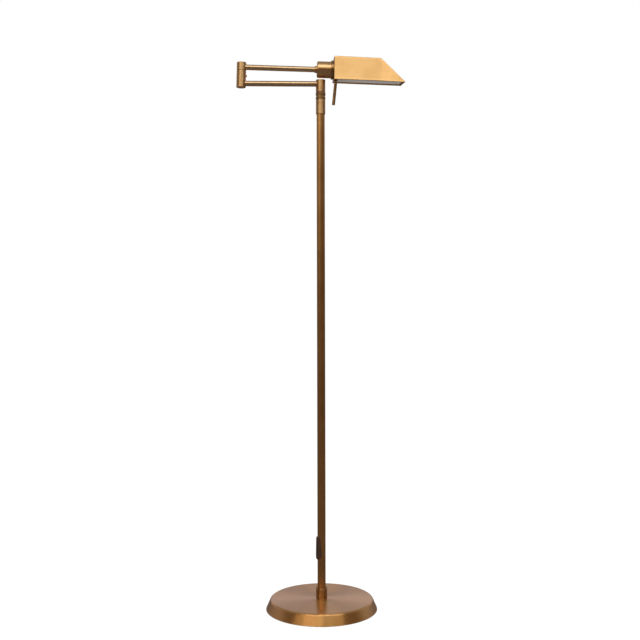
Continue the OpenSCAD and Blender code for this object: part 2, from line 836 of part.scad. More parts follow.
module lamp_contact() {
  color(raw_brass) at_upper_arm() translate([holder_floor, -3, -8]) {
    cube([0.6, 6, 5.5]);
    cube([2.2, 6, 0.6]);
  }
}

module upper_arm_lead() {
  color(black) at_upper_arm() rod_along_x(lead_r, 3, cup_x + cup_spigot_len - 1);
}

module bulb_cap() {
  wall = 0.4;
  color(zinc) at_upper_arm() turned_x([
    [0, lamp_cap_x - 0.8], [4.5, lamp_cap_x - 0.8], [5, lamp_cap_x], [9, lamp_cap_x + 0.5],
    [lamp_cap_r, lamp_cap_x + 4], [lamp_cap_r, lamp_cap_end], [lamp_cap_r - wall, lamp_cap_end],
    [lamp_cap_r - wall, lamp_cap_x + 4.4], [8.5, lamp_cap_x + 1.5], [0, lamp_cap_x + 1.5]]);
}

// Opal tube with a domed end, its neck held in the screw cap
module bulb_glass() {
  neck = lamp_cap_r - 0.4 - slip;
  dome = lamp_r * 0.6;
  shoulder = lamp_cap_end + 7;
  t = lamp_glass_t;
  color(opal) at_upper_arm() turned_x(concat(
    [[neck - t, lamp_cap_end - 8], [neck, lamp_cap_end - 8], [neck, lamp_cap_end + 1], [lamp_r, shoulder]],
    arc(lamp_r - dome, lamp_end - dome, dome, 0, 90),
    [[0, lamp_end], [0, lamp_end - t]],
    arc(lamp_r - dome, lamp_end - dome, dome - t, 90, 0),
    [[lamp_r - t, shoulder], [neck - t, lamp_cap_end + 1]]));
}

// ---- shade ----

// Point of a line that falls from a height at the shade's back, at a distance x
function falling(z, fall, x) = [x, z - (x - shade_x) * tan(fall)];

// Point where such a line meets the sloping front, which is moved in by inset
function at_front(z, fall, inset) = falling(z, fall,
  (shade_end - inset / cos(shade_front_lean)
    - (z + shade_x * tan(fall) - shade_front_foot) * tan(shade_front_lean))
  / (1 - tan(fall) * tan(shade_front_lean)));

// Solid of the shade's form, with every face but the open one moved in by inset
module shade_form(inset, drop) {
  side = function (z) shade_half - (z + shade_below) * tan(shade_side_lean)
    - inset / cos(shade_side_lean);
  foot = -shade_below - drop;
  top = shade_above - inset;
  low = shade_front_foot - drop - cut;
  back = shade_x + inset;
  intersection() {
    translate([0, shade_w, 0]) rotate([90, 0, 0]) linear_extrude(height = 2 * shade_w)
      polygon([falling(foot, shade_edge_fall, back), at_front(foot, shade_edge_fall, inset),
        at_front(top, shade_top_fall, inset), falling(top, shade_top_fall, back)]);
    rotate([90, 0, 90]) linear_extrude(height = shade_end + big)
      polygon([[-side(low), low], [side(low), low], [side(top), top], [-side(top), top]]);
  }
}

module shade_shell() {
  color(light_antique) at_shade() difference() {
    shade_form(0, 0);
    shade_form(shade_t, cut);
    rod_along_x(collar_r + slip, shade_x - cut, shade_x + shade_t + cut);
  }
}

// White reflector that lies against the inside of the shade
module shade_liner() {
  color(enamel) at_shade() difference() {
    shade_form(shade_t, -liner_up);
    shade_form(shade_t + liner_t, cut);
    rod_along_x(liner_hole_r, shade_x, shade_x + ring_len);
  }
}

module shade_collar() {
  step_x = flange_x + flange_t;
  bore = journal_r + run;
  color(light_antique) at_shade() turned_x([
    [bore, flange_x], [flange_r - 0.6, flange_x], [flange_r, flange_x + 0.6],
    [flange_r, step_x], [flange_r - 1, step_x], [flange_r - 1, shade_x],
    [collar_r, shade_x], [collar_r, collar_end], [bore, collar_end]]);
}

// Frame of the handle rod: Z up along the rod from its seat on the lock ring
module at_rod() {
  at_shade() translate([rod_x, 0, -ring_r]) rotate([0, rod_lean, 0]) children();
}

module shade_lock_ring() {
  color(raw_brass) difference() {
    at_shade() tube_x(ring_r, collar_r + slip, ring_x, ring_x + ring_len);
    at_rod() translate([0, 0, -cut]) cylinder(r = rod_thread_r + slip, h = 4 + cut);
  }
}

module handle_rod() {
  seat = -0.2;
  foot = ring_r - rod_reach;
  chamfer = 1;
  color(antique) at_rod() turned([
    [0, foot], [rod_r - chamfer, foot], [rod_r, foot + chamfer], [rod_r, seat - 0.4],
    [rod_r - 0.4, seat], [rod_thread_r, seat], [rod_thread_r, 3.6], [0, 3.6]]);
}

base_pad();
base_weight();
base_cover();
base_nipple();
base_washer();
base_nut();
base_collar();
cord_grommet();
pole_tube();
pole_foot_plug();
pole_lead();
clamp_sleeve();
clamp_collet();
lock_collar();
dimmer_housing();
dimmer_board();
dimmer_screws();
dimmer_slider();
stem_tube();
stem_guide();
swivel_pin();
swivel_washer();
swivel_clip();
stem_lead();
pole_hub();
hub_cap();
lower_arm_tube();
elbow_barrel();
elbow_foot_cap();
elbow_screw();
lower_arm_lead();
elbow_washer();
elbow_hub();
elbow_pin();
elbow_nut();
elbow_spring();
elbow_cap();
upper_arm_tube();
arm_ferrule();
socket_cup();
cup_nut();
journal_tube();
journal_clip();
lamp_holder();
thread_shell();
lamp_contact();
upper_arm_lead();
bulb_cap();
bulb_glass();
shade_collar();
shade_shell();
shade_liner();
shade_lock_ring();
handle_rod();
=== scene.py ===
# %% [markdown]
# # A floor lamp in brushed antique brass
# The lamp is a weighted spun base, a drawn pole with a height clamp, two folding arms and a small
# folded shade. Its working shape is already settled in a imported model, with every piece in its real
# place. This lesson gives the seen pieces the roundings, seams, knurls and finish that the eye
# expects, and leaves every size as it is.

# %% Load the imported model
import json
import math

import bmesh
import bpy
import numpy as np
from mathutils import Matrix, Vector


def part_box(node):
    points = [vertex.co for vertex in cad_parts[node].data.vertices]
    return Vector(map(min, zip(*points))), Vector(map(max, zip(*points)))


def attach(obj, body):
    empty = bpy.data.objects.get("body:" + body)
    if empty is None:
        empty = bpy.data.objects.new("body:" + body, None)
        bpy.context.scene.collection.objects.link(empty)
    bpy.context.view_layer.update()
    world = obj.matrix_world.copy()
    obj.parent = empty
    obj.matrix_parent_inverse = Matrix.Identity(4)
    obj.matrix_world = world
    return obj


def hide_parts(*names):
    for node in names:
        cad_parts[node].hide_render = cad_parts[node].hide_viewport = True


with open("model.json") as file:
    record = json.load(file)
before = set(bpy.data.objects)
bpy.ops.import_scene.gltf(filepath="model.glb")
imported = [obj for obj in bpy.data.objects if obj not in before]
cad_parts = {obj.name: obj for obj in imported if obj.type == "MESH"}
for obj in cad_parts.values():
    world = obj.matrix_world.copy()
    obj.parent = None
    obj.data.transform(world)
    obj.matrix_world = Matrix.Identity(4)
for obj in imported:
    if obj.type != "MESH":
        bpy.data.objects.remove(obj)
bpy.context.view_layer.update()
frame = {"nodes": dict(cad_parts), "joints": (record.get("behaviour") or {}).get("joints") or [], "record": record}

nodes = frame["nodes"]

# %% [markdown]
# ## Where the camera stands
# A product view of a tall lamp is taken level, so that the pole stays upright, and the lens is
# shifted down a little to hold the base. The camera could be tilted instead, but then the pole would
# lean inwards at its top. It stands just left of the lamp's front, so that the shade's far side hides
# behind the near one, and it rolls by an eighth of a degree, as much as a tripod head is easily out.

# %% Camera
CAMERA_DISTANCE = 2.215
CAMERA_HEIGHT = 0.713
CAMERA_AZIMUTH = math.radians(-2)
CAMERA_ROLL = math.radians(0.12)

camera_data = bpy.data.cameras.new("camera")
camera_data.lens = 53.4
camera_data.sensor_width = 36
camera_data.shift_x = -0.0016
camera_data.shift_y = -0.0266
camera = bpy.data.objects.new("camera", camera_data)
bpy.context.scene.collection.objects.link(camera)
camera.location = (CAMERA_DISTANCE * math.sin(CAMERA_AZIMUTH),
                   -CAMERA_DISTANCE * math.cos(CAMERA_AZIMUTH), CAMERA_HEIGHT)
camera.rotation_euler = (math.radians(90), CAMERA_ROLL, CAMERA_AZIMUTH)
bpy.context.scene.camera = camera
bpy.context.scene.view_settings.view_transform = "Standard"
print("camera at", tuple(round(c, 3) for c in camera.location))

# %% [markdown]
# ## Frames of the leaning pieces
# The elbow's axis leans a little, and so do the arm, the shade and its handle that follow it. Each
# piece is drawn upright about its own third axis and then laid in a frame: an origin and three
# directions. Objects could be rotated into place instead, but here each one stays at the origin, with
# its place in its mesh. The frames come from the model's joints, so a piece always sits where it turns.

# %% Frames and measuring
MM = 0.001


def frame_of(origin, turning, side):
    """Four by four matrix: the third axis is the turning direction, the first is side made square to
    it, and the second completes a right-handed set."""
    z = np.array(turning, float) / np.linalg.norm(turning)
    x = np.array(side, float) - z * np.dot(side, z)
    x /= np.linalg.norm(x)
    made = np.eye(4)
    made[:3, 0], made[:3, 1], made[:3, 2], made[:3, 3] = x, np.cross(z, x), z, origin
    return made


def lay(points, place):
    """Points in millimetres in a frame, as metres in the lamp's own frame."""
    return points * MM @ place[:3, :3].T + place[:3, 3]


def node_points(node, place):
    """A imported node's points in millimetres, measured in a frame."""
    mesh = nodes[node].data
    co = np.empty(len(mesh.vertices) * 3)
    mesh.vertices.foreach_get("co", co)
    return (co.reshape(-1, 3) - place[:3, 3]) @ place[:3, :3] / MM


def span(node, place):
    """A turned node's outer radius and its two ends along the turning axis, in millimetres."""
    p = node_points(node, place)
    return np.hypot(p[:, 0], p[:, 1]).max(), p[:, 2].min(), p[:, 2].max()


joints = {j["name"]: j for j in frame["joints"]}
UPRIGHT = frame_of((0, 0, 0), (0, 0, 1), (1, 0, 0))
elbow_joint, roll_joint = joints["elbow_swing"], joints["shade_roll"]
ELBOW = frame_of(elbow_joint["pos_m"], elbow_joint["axis"], (1, 0, 0))
ARM = frame_of(roll_joint["pos_m"], roll_joint["axis"], (0, 0, 1))
lower_low, lower_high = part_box("lower_arm_tube")
LOWER_ARM = frame_of((0, 0, (lower_low.z + lower_high.z) / 2), (1, 0, 0), (0, 0, 1))
print("elbow leans", round(math.degrees(math.acos(ELBOW[2, 2])), 2), "degrees")

# %% [markdown]
# ## Sheets of points
# Every new piece is a sheet of points on a grid, worked out with numpy as whole arrays. A turned
# piece is a half outline carried round an axis; a folded one is a cross-section carried along a path.
# Each sheet also keeps three things that its finish needs: the direction of the brushing as a UV map,
# a coordinate that is stretched along the brushing lines, and how much its edges have been rubbed,
# which along the shade's hem is also a painted highlight.
# The pieces could be built by hand from primitives and bevels, but an outline with a radius at each
# corner says what the lathe or the press did, and can be changed in one place.

# %% Outline with rounded corners
ARC_STEPS = 6
WORN_RADIUS = 3.0      # roundings up to this radius catch the cloth and wear bright


def rounded(corners, closed=True):
    """Outline through corners of (radius, height, rounding): each corner is cut where a circle of its
    rounding touches both sides, and the circle's arc joins the cuts. A point just beyond each cut
    holds the flat. Returns the points and how worn each is: 1 on small convex arcs, 0 elsewhere."""
    c = np.array([row[:2] for row in corners], float)
    radii = [row[2] if len(row) > 2 else 0 for row in corners]
    count = len(c)
    turn = np.roll(c, -1, 0)
    way = np.sign(np.sum(c[:, 0] * turn[:, 1] - turn[:, 0] * c[:, 1]))
    points, worn = [], []
    for i in range(count):
        if radii[i] == 0 or (not closed and i in (0, count - 1)):
            points.append(c[i:i + 1])
            worn.append([0.0])
            continue
        a, b = c[i - 1] - c[i], c[(i + 1) % count] - c[i]
        la, lb = np.linalg.norm(a), np.linalg.norm(b)
        a, b = a / la, b / lb
        half = math.acos(np.clip(a @ b, -1, 1)) / 2
        cut = min(radii[i] / math.tan(half), 0.46 * la, 0.46 * lb)
        radius = cut * math.tan(half)
        centre = c[i] + (a + b) / np.linalg.norm(a + b) * radius / math.sin(half)
        start, end = (c[i] + a * cut - centre) / radius, (c[i] + b * cut - centre) / radius
        swing = math.pi - 2 * half
        k = np.linspace(0, 1, ARC_STEPS + 1)[:, None]
        arc = np.sin((1 - k) * swing) * start + np.sin(k * swing) * end
        arc = centre + radius * arc / math.sin(swing)
        hold_a, hold_b = (cut + min(0.15 + 0.3 * radius, 0.06 * side) for side in (la, lb))
        points += [c[i:i + 1] + a * hold_a, arc, c[i:i + 1] + b * hold_b]
        convex = way * (-a[0] * b[1] + a[1] * b[0]) > 0
        edge = 1.0 if convex and radius <= WORN_RADIUS else 0.0
        worn += [[0.0], [edge] * len(arc), [0.0]]
    return np.vstack(points), np.concatenate(worn)


# %% Turned sheet
ROUND_STEPS = 96


def lengths(points):
    """Distance travelled along a line of points, starting at 0."""
    return np.concatenate([[0], np.cumsum(np.linalg.norm(np.diff(points, axis=0), axis=1))])


def turned(corners, place, closed=True, steps=ROUND_STEPS, relief=None):
    """Half outline carried round the third axis of a frame: a point at radius r and height h goes to
    (r cos t, r sin t, h) for t from 0 to a full turn. relief(t, h) is taken off the radius. The
    brushing runs round the axis."""
    outline, worn = corners if isinstance(corners, tuple) else rounded(corners, closed)
    s = lengths(outline)[:, None]
    t = np.linspace(0, 2 * np.pi, steps, endpoint=False)[None, :]
    r, h = outline[:, :1] + 0 * t, outline[:, 1:] + 0 * t
    if relief is not None:
        r = r - relief(t, h)
    local = np.stack([r * np.cos(t), r * np.sin(t), h], axis=-1)
    across = np.stack([r * np.cos(t), r * np.sin(t), s + 0 * t], axis=-1)
    around = np.linspace(0, 2 * np.pi, steps + 1)[None, :] * max(outline[:, 0].max(), 1)
    rows = np.concatenate([s, s[-1:] + 1]) if closed else s
    uv = np.stack([around + 0 * rows, rows + 0 * around], axis=-1)
    return dict(points=lay(local.reshape(-1, 3), place).reshape(local.shape), wrap=(closed, True),
                grain=across, wear=worn[:, None] + 0 * t, uv=uv * MM)


# %% Mesh from sheets
def quads_of(sheet, first):
    """Four corner numbers for each cell of a grid, with the last row or column joined to the first
    where the sheet is closed, and the same cells' corners in its UV grid."""
    n, m = sheet["points"].shape[:2]
    rows, cols = n - (not sheet["wrap"][0]), m - (not sheet["wrap"][1])
    i, j = (g.ravel() for g in np.meshgrid(np.arange(rows), np.arange(cols), indexing="ij"))
    step = ((0, 0), (0, 1), (1, 1), (1, 0))
    quads = np.stack([first + (i + a) % n * m + (j + b) % m for a, b in step], axis=1)
    flat = sheet["uv"].reshape(-1, 2)
    uv = np.stack([flat[(i + a) * sheet["uv"].shape[1] + j + b] for a, b in step], axis=1)
    return quads, uv


def make(name, sheets, body, replaced=(), crease=38, close=True):
    """A piece from sheets: their points, quads, UVs, grain, and wear with painted sheen go into one mesh;
    points that coincide become one, faces are turned outwards, and edges over the crease angle stay sharp."""
    first, points, quads, uvs, grain, wear = 0, [], [], [], [], []
    for sheet in sheets:
        q, uv = quads_of(sheet, first)
        quads.append(q)
        uvs.append(uv)
        points.append(sheet["points"].reshape(-1, 3))
        grain.append(sheet["grain"].reshape(-1, 3))
        wear.append(sheet["wear"].ravel())
        first += len(points[-1])
    points, quads = np.vstack(points), np.vstack(quads)
    mesh = bpy.data.meshes.new(name)
    mesh.from_pydata(points.tolist(), [], quads.tolist())
    mesh.uv_layers.new(name="brushing").data.foreach_set("uv", np.vstack(uvs).ravel())
    mesh.attributes.new("grain", "FLOAT_VECTOR", "POINT").data.foreach_set(
        "vector", (np.vstack(grain) * MM).astype(np.float32).ravel())
    mesh.attributes.new("wear", "FLOAT", "POINT").data.foreach_set(
        "value", np.concatenate(wear).astype(np.float32))
    work = bmesh.new()
    work.from_mesh(mesh)
    bmesh.ops.remove_doubles(work, verts=work.verts, dist=2e-6)
    bmesh.ops.dissolve_degenerate(work, edges=work.edges, dist=1e-6)
    bmesh.ops.recalc_face_normals(work, faces=work.faces)
    open_edges = sum(1 for e in work.edges if len(e.link_faces) != 2)
    work.to_mesh(mesh)
    work.free()
    mesh.shade_smooth()
    mesh.set_sharp_from_angle(angle=math.radians(crease))
    piece = bpy.data.objects.new(name, mesh)
    bpy.context.scene.collection.objects.link(piece)
    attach(piece, body)
    if replaced:
        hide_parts(*replaced)
    if close and open_edges:
        print("open edges in", name, open_edges)
    return piece


# %% [markdown]
# ## Finishes
# Antique brass of this kind is brass that has been darkened, then rubbed back in one direction and
# lacquered. So its colour drifts a little from place to place, fine lines run along the rubbing, the
# edges are rubbed brighter, and a clear coat lies over it all. An even brown metal would be simpler,
# but the slow drift and the stretched highlight are what make the metal look real. The same recipe
# serves every brass piece, with a tone and a roughness of its own. The tones of the shade and the pole
# are darker as painted shade, and the arms' tone is paler as a painted highlight.

# %% Node helpers
def add(tree, kind, settings=None, **inputs):
    """Adds a node, sets its properties and its input sockets, and links sockets given as values."""
    made = tree.nodes.new(kind)
    for key, value in (settings or {}).items():
        setattr(made, key, value)
    for key, value in inputs.items():
        numbered = key[0] == "_" and key[1:].isdigit()
        socket = made.inputs[int(key[1:]) if numbered else key.replace("_", " ")]
        if isinstance(value, bpy.types.NodeSocket):
            tree.links.new(value, socket)
        else:
            socket.default_value = value
    return made


def new_material(name):
    """A material with an empty node tree, and its output node."""
    material = bpy.data.materials.new(name)
    material.use_nodes = True
    material.node_tree.nodes.clear()
    return material, material.node_tree, material.node_tree.nodes.new("ShaderNodeOutputMaterial")


def ramp(tree, factor, stops):
    """Colour ramp through (place, value or colour) stops."""
    made = add(tree, "ShaderNodeValToRGB", Fac=factor)
    elements = made.color_ramp.elements
    while len(elements) < len(stops):
        elements.new(0.5)
    for element, (place, colour) in zip(elements, stops):
        element.position = place
        element.color = (*colour, 1) if isinstance(colour, tuple) else (colour, colour, colour, 1)
    return made.outputs["Color"]


def mix(tree, factor, a, b):
    """Colour mix of a and b."""
    made = add(tree, "ShaderNodeMix", {"data_type": "RGBA"}, _0=factor, _6=a, _7=b)
    return made.outputs[2]


def sum_of(tree, a, scale, base):
    """a times scale plus base."""
    return add(tree, "ShaderNodeMath", {"operation": "MULTIPLY_ADD"}, _0=a, _1=scale, _2=base).outputs[0]


# %% Brushed antique brass
LINE_ACROSS = 5200     # how closely the brushed lines lie, per metre
LINE_ALONG = 60        # how quickly a line changes along itself, per metre
LINE_DEPTH = 0.00003   # depth of a brushed line in metres
DRIFT = 14             # how quickly the patina drifts, per metre


def antique_brass(name, tone, deep, rough=0.40, stretch=0.82, lines=0.4, lacquer=0.6, edge=0.75,
                  lengthwise=False):
    """Darkened and brushed brass under a satin lacquer. tone is its rubbed colour, deep the colour
    where the dark patina stayed, stretch how far the brushing draws a highlight out across its lines,
    lines how strongly single lines show, lacquer how much of the clear coat is left, and edge how much
    colour a slanting view keeps. The lines run round a turned piece, or along it where it was brushed
    lengthwise."""
    material, tree, out = new_material(name)
    grain = add(tree, "ShaderNodeAttribute", {"attribute_name": "grain"}).outputs["Vector"]
    wear = add(tree, "ShaderNodeAttribute", {"attribute_name": "wear"}).outputs["Fac"]
    place = add(tree, "ShaderNodeTexCoord").outputs["Object"]
    scale = (LINE_ALONG, LINE_ALONG, LINE_ACROSS)
    if lengthwise:
        scale = (LINE_ACROSS, LINE_ACROSS, LINE_ALONG)
    along = add(tree, "ShaderNodeMapping", Vector=grain, Scale=scale)
    streak = add(tree, "ShaderNodeTexNoise", Vector=along.outputs[0], Scale=1.0, Detail=2.0, Roughness=0.6)
    broad = add(tree, "ShaderNodeMapping", Vector=grain, Scale=tuple(0.08 * c + 8 for c in scale))
    bands = add(tree, "ShaderNodeTexNoise", Vector=broad.outputs[0], Scale=1.0, Detail=2.0, Roughness=0.5)
    drift = add(tree, "ShaderNodeTexNoise", Vector=place, Scale=DRIFT, Detail=3.0, Roughness=0.55)
    patina = ramp(tree, drift.outputs["Fac"], [(0.36, 0.0), (0.66, 1.0)])
    colour = mix(tree, patina, (*deep, 1), (*tone, 1))
    banded = mix(tree, sum_of(tree, bands.outputs["Fac"], 0.5 * lines, -0.12 * lines), colour, (*deep, 1))
    lined = mix(tree, sum_of(tree, streak.outputs["Fac"], 0.42 * lines, -0.1 * lines), banded,
                (*(0.72 * c for c in deep), 1))
    bright = tuple(min(1, 1.18 * c) for c in tone) + (1,)
    # Rubbed edges, and the painted highlight along the shade's hem, take the brighter tone.
    worn = mix(tree, sum_of(tree, wear, 0.6, 0), lined, bright)
    satin = sum_of(tree, drift.outputs["Fac"], 0.1, rough - 0.11)
    roughness = sum_of(tree, streak.outputs["Fac"], 0.12, satin)
    bump = add(tree, "ShaderNodeBump", Height=streak.outputs["Fac"], Strength=0.18 * lines,
               Distance=LINE_DEPTH)
    tangent = add(tree, "ShaderNodeTangent", {"direction_type": "UV_MAP", "uv_map": "brushing"})
    shader = add(tree, "ShaderNodeBsdfPrincipled", Metallic=1.0, Base_Color=worn, Roughness=roughness,
                 Anisotropic=stretch, Anisotropic_Rotation=0.0 if lengthwise else 0.25,
                 Specular_Tint=(*(1 - edge * (1 - 0.8 * c) for c in tone), 1), Coat_Weight=lacquer,
                 Coat_Roughness=0.25, Coat_IOR=1.5, Normal=bump.outputs[0], Tangent=tangent.outputs[0])
    tree.links.new(shader.outputs[0], out.inputs[0])
    return material


# Painted shade: the shade's tone is darker than the turned brass, to offset the bright panel on it.
SHADE_BRASS = antique_brass("brushed_brass_shade", (0.70, 0.43, 0.165), (0.52, 0.295, 0.095), rough=0.34,
                            stretch=0.75, lines=0.6, lacquer=0.4)
TUBE_BRASS = antique_brass("brushed_brass_turned", (0.81, 0.52, 0.24), (0.69, 0.42, 0.18), lines=0.22)
# Painted highlight: the arms get a paler copy of the turned brass, so that their pale line reads paler.
ARM_BRASS = antique_brass("brushed_brass_arms", (0.76, 0.54, 0.31), (0.65, 0.44, 0.235), lines=0.3)
# Painted shade: the pole's tone is darker than the turned brass.
POLE_BRASS = antique_brass("drawn_brass_pole", (0.69, 0.40, 0.165), (0.57, 0.31, 0.12), rough=0.36,
                           stretch=0.6, lacquer=0.1, edge=1.0, lengthwise=True)
BASE_BRASS = antique_brass("spun_brass_base", (0.84, 0.45, 0.14), (0.70, 0.345, 0.10), rough=0.33,
                           stretch=0.9, lacquer=0.8, edge=0.0)
DARK_BRASS = antique_brass("darkened_brass", (0.55, 0.33, 0.13), (0.38, 0.21, 0.075), rough=0.34)
print("brass finishes: 6")


# %% [markdown]
# ## Finishes in one colour
# Plastic, nylon, rubber, felt, enamel and plated steel are each of one colour, but a flat colour would
# look like none of them. So each drifts a little in cloudy patches, under a fine bump and with a gloss
# of its own. A recipe for each could be written apart; one serves all, because only its numbers differ.

# %% Plain finishes
def plain(name, colour, rough, metallic=0.0, spread=0.25, scale=60.0, bump=0.1, depth=0.0002, coat=0.0,
          sheen=0.0):
    """A finish with one colour that varies by spread over cloudy patches, with a fine bump."""
    material, tree, out = new_material(name)
    place = add(tree, "ShaderNodeTexCoord").outputs["Object"]
    cloud = add(tree, "ShaderNodeTexNoise", Vector=place, Scale=scale, Detail=4.0, Roughness=0.6)
    fine = add(tree, "ShaderNodeTexNoise", Vector=place, Scale=scale * 22, Detail=2.0, Roughness=0.6)
    low, high = ((*(min(1, c * k) for c in colour), 1) for k in (1 - spread, 1 + spread))
    tint = mix(tree, cloud.outputs["Fac"], low, high)
    relief = add(tree, "ShaderNodeBump", Height=fine.outputs["Fac"], Strength=bump, Distance=depth)
    shader = add(tree, "ShaderNodeBsdfPrincipled", Metallic=metallic, Base_Color=tint,
                 Roughness=sum_of(tree, cloud.outputs["Fac"], 0.16, rough - 0.08), Normal=relief.outputs[0],
                 Coat_Weight=coat, Sheen_Weight=sheen)
    tree.links.new(shader.outputs[0], out.inputs[0])
    return material


RAW_BRASS = plain("turned_brass", (0.78, 0.55, 0.25), 0.32, metallic=1.0, spread=0.08)
CAST_IRON = plain("cast_iron", (0.10, 0.10, 0.105), 0.62, metallic=0.8, bump=0.5, depth=0.0006)
ZINC = plain("zinc_plate", (0.62, 0.63, 0.66), 0.34, metallic=1.0, spread=0.1)
FELT = plain("pressed_felt", (0.035, 0.03, 0.028), 0.95, spread=0.3, scale=120, bump=0.7, depth=0.0006,
             sheen=0.4)
RUBBER = plain("black_rubber", (0.022, 0.021, 0.02), 0.62, spread=0.2)
NYLON = plain("natural_nylon", (0.78, 0.75, 0.67), 0.48, spread=0.05)
BLACK_NYLON = plain("black_nylon", (0.03, 0.026, 0.023), 0.5, spread=0.08)
BROWN = plain("brown_moulding", (0.052, 0.024, 0.012), 0.33, spread=0.12, bump=0.12, coat=0.3)
BLACK = plain("black_moulding", (0.02, 0.018, 0.016), 0.42, spread=0.15, bump=0.15)
BOARD = plain("printed_board", (0.03, 0.12, 0.045), 0.45, spread=0.15)
SHEATH = plain("lead_sheath", (0.03, 0.028, 0.026), 0.55, spread=0.2)
NICKEL = plain("rolled_cap", (0.66, 0.65, 0.62), 0.3, metallic=1.0, spread=0.08)
# Painted shade: the reflector's white enamel is toned a grey darker than white, for the shade inside the hood.
ENAMEL = plain("white_enamel", (0.38, 0.345, 0.325), 0.42, spread=0.06, scale=30, bump=0.05)
print("plain finishes: 13")


# %% [markdown]
# ## Opal glass
# The lamp's glass has a milky layer inside. It could be made to shine, but the lamp is off here, so
# light only enters the layer a little way and comes out again, under a glossy skin.

# %% Opal glass
def opal_glass():
    """Milky glass: light enters a little way and comes out again, under a glossy skin."""
    material, tree, out = new_material("opal_glass")
    place = add(tree, "ShaderNodeTexCoord").outputs["Object"]
    cloud = add(tree, "ShaderNodeTexNoise", Vector=place, Scale=40.0, Detail=2.0)
    tint = mix(tree, cloud.outputs["Fac"], (0.84, 0.82, 0.77, 1), (0.92, 0.91, 0.87, 1))
    shader = add(tree, "ShaderNodeBsdfPrincipled", Base_Color=tint, Roughness=0.18, Subsurface_Weight=0.3,
                 Subsurface_Radius=(0.004, 0.004, 0.004))
    tree.links.new(shader.outputs[0], out.inputs[0])
    return material


OPAL = opal_glass()


def finish(piece, material):
    """Gives a piece its only finish."""
    piece.data.materials.clear()
    piece.data.materials.append(material)
    return piece


def brass_piece(name, sheet, body, node, metal=TUBE_BRASS):
    """A piece of one sheet in antique brass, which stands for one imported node."""
    return finish(make(name, [sheet], body, [node]), metal)


# %% [markdown]
# ## The pieces inside
# The weight, the nuts and washers, the nylon bushes, the pins and the leads are inside the lamp. They
# could be drawn again as the seen pieces are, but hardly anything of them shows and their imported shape
# is right as it is, so they keep it and only get a finish each.

# %% Finishes of the inner pieces
INNER = {
    "base_weight": CAST_IRON, "base_nipple": ZINC, "base_washer": ZINC, "base_nut": ZINC,
    "pole_foot_plug": RAW_BRASS, "pole_lead": SHEATH, "clamp_collet": NYLON, "dimmer_board": BOARD,
    "stem_guide": NYLON, "swivel_pin": RAW_BRASS, "swivel_washer": BLACK_NYLON, "swivel_clip": ZINC,
    "stem_lead": SHEATH, "lower_arm_lead": SHEATH, "elbow_washer": BLACK_NYLON, "elbow_pin": RAW_BRASS,
    "elbow_nut": ZINC, "elbow_spring": ZINC, "cup_nut": ZINC, "journal_clip": ZINC,
    "thread_shell": RAW_BRASS, "lamp_contact": RAW_BRASS, "upper_arm_lead": SHEATH,
}
for inner, material in INNER.items():
    finish(nodes[inner], material)
print("inner pieces finished:", len(INNER))

# %% [markdown]
# ## The base
# The base is a shallow brass shell, spun over a form, that hides a cast-iron weight. Spinning leaves a
# broad round shoulder, a leaning side and fine rings all over. A cylinder with a bevel would lack the
# slight crown of the top and the rim that is turned in at the foot.

# %% Base cover, felt and foot collar
FIT = 0.05             # gap between pieces that are pressed or slid together
TOP_CROWN = 0.5
RIM_ROUNDING = 0.7
SHOULDER = 5.5
SIDE_LEAN = math.radians(23.5)
COVER_SHEET = 1.5

cover_r, cover_foot, cover_top = span("base_cover", UPRIGHT)
pole_r, pole_foot, pole_top = span("pole_tube", UPRIGHT)
shoulder_r = cover_r - (cover_top - cover_foot) * math.tan(SIDE_LEAN)
inner_r = cover_r - COVER_SHEET / math.cos(SIDE_LEAN)
inner_shoulder_r = inner_r - (cover_top - COVER_SHEET - cover_foot) * math.tan(SIDE_LEAN)
HOLE_R = 5.4           # hole for the threaded tube
cover = turned([
    (HOLE_R, cover_top), (pole_r, cover_top), (shoulder_r, cover_top - TOP_CROWN, SHOULDER),
    (cover_r, cover_foot, RIM_ROUNDING), (inner_r, cover_foot, 0.5),
    (inner_shoulder_r, cover_top - COVER_SHEET - TOP_CROWN, SHOULDER - COVER_SHEET),
    (HOLE_R, cover_top - COVER_SHEET)], UPRIGHT, steps=256)
brass_piece("spun_base_cover", cover, "stand", "base_cover", BASE_BRASS)

pad_r, pad_foot, pad_top = span("base_pad", UPRIGHT)
felt = turned([(0, pad_foot), (pad_r, pad_foot, 0.8), (pad_r, pad_top, 0.5), (0, pad_top)], UPRIGHT,
              closed=False, steps=192)
finish(make("felt_pad", [felt], "stand", ["base_pad"]), FELT)

collar_r, collar_foot, collar_top = span("base_collar", UPRIGHT)
collar_bore = pole_r + FIT
foot_collar = turned([
    (collar_bore, collar_foot), (collar_r - 0.3, collar_foot, 0.2), (collar_r, collar_foot + 0.8, 0.3),
    (collar_r, collar_top - 3.4, 0.25), (collar_r - 0.45, collar_top - 2.9, 0.2),
    (collar_r - 0.45, collar_top - 2.5, 0.2), (collar_r, collar_top - 2.0, 0.25),
    (collar_r, collar_top, 1.2), (collar_bore, collar_top, 0.3)], UPRIGHT)
brass_piece("turned_foot_collar", foot_collar, "stand", "base_collar", DARK_BRASS)
print("base", round(2 * cover_r, 1), "mm across, collar", round(2 * collar_r, 1))

# %% [markdown]
# ## The cord inlet
# The cord enters at the back through a rubber bush that is pressed into a hole in the base. A ring of
# round section would be quicker, but it lacks the waist that grips the sheet. A bush is moulded with a
# soft lip on either side of that waist, so its outline has round corners everywhere.

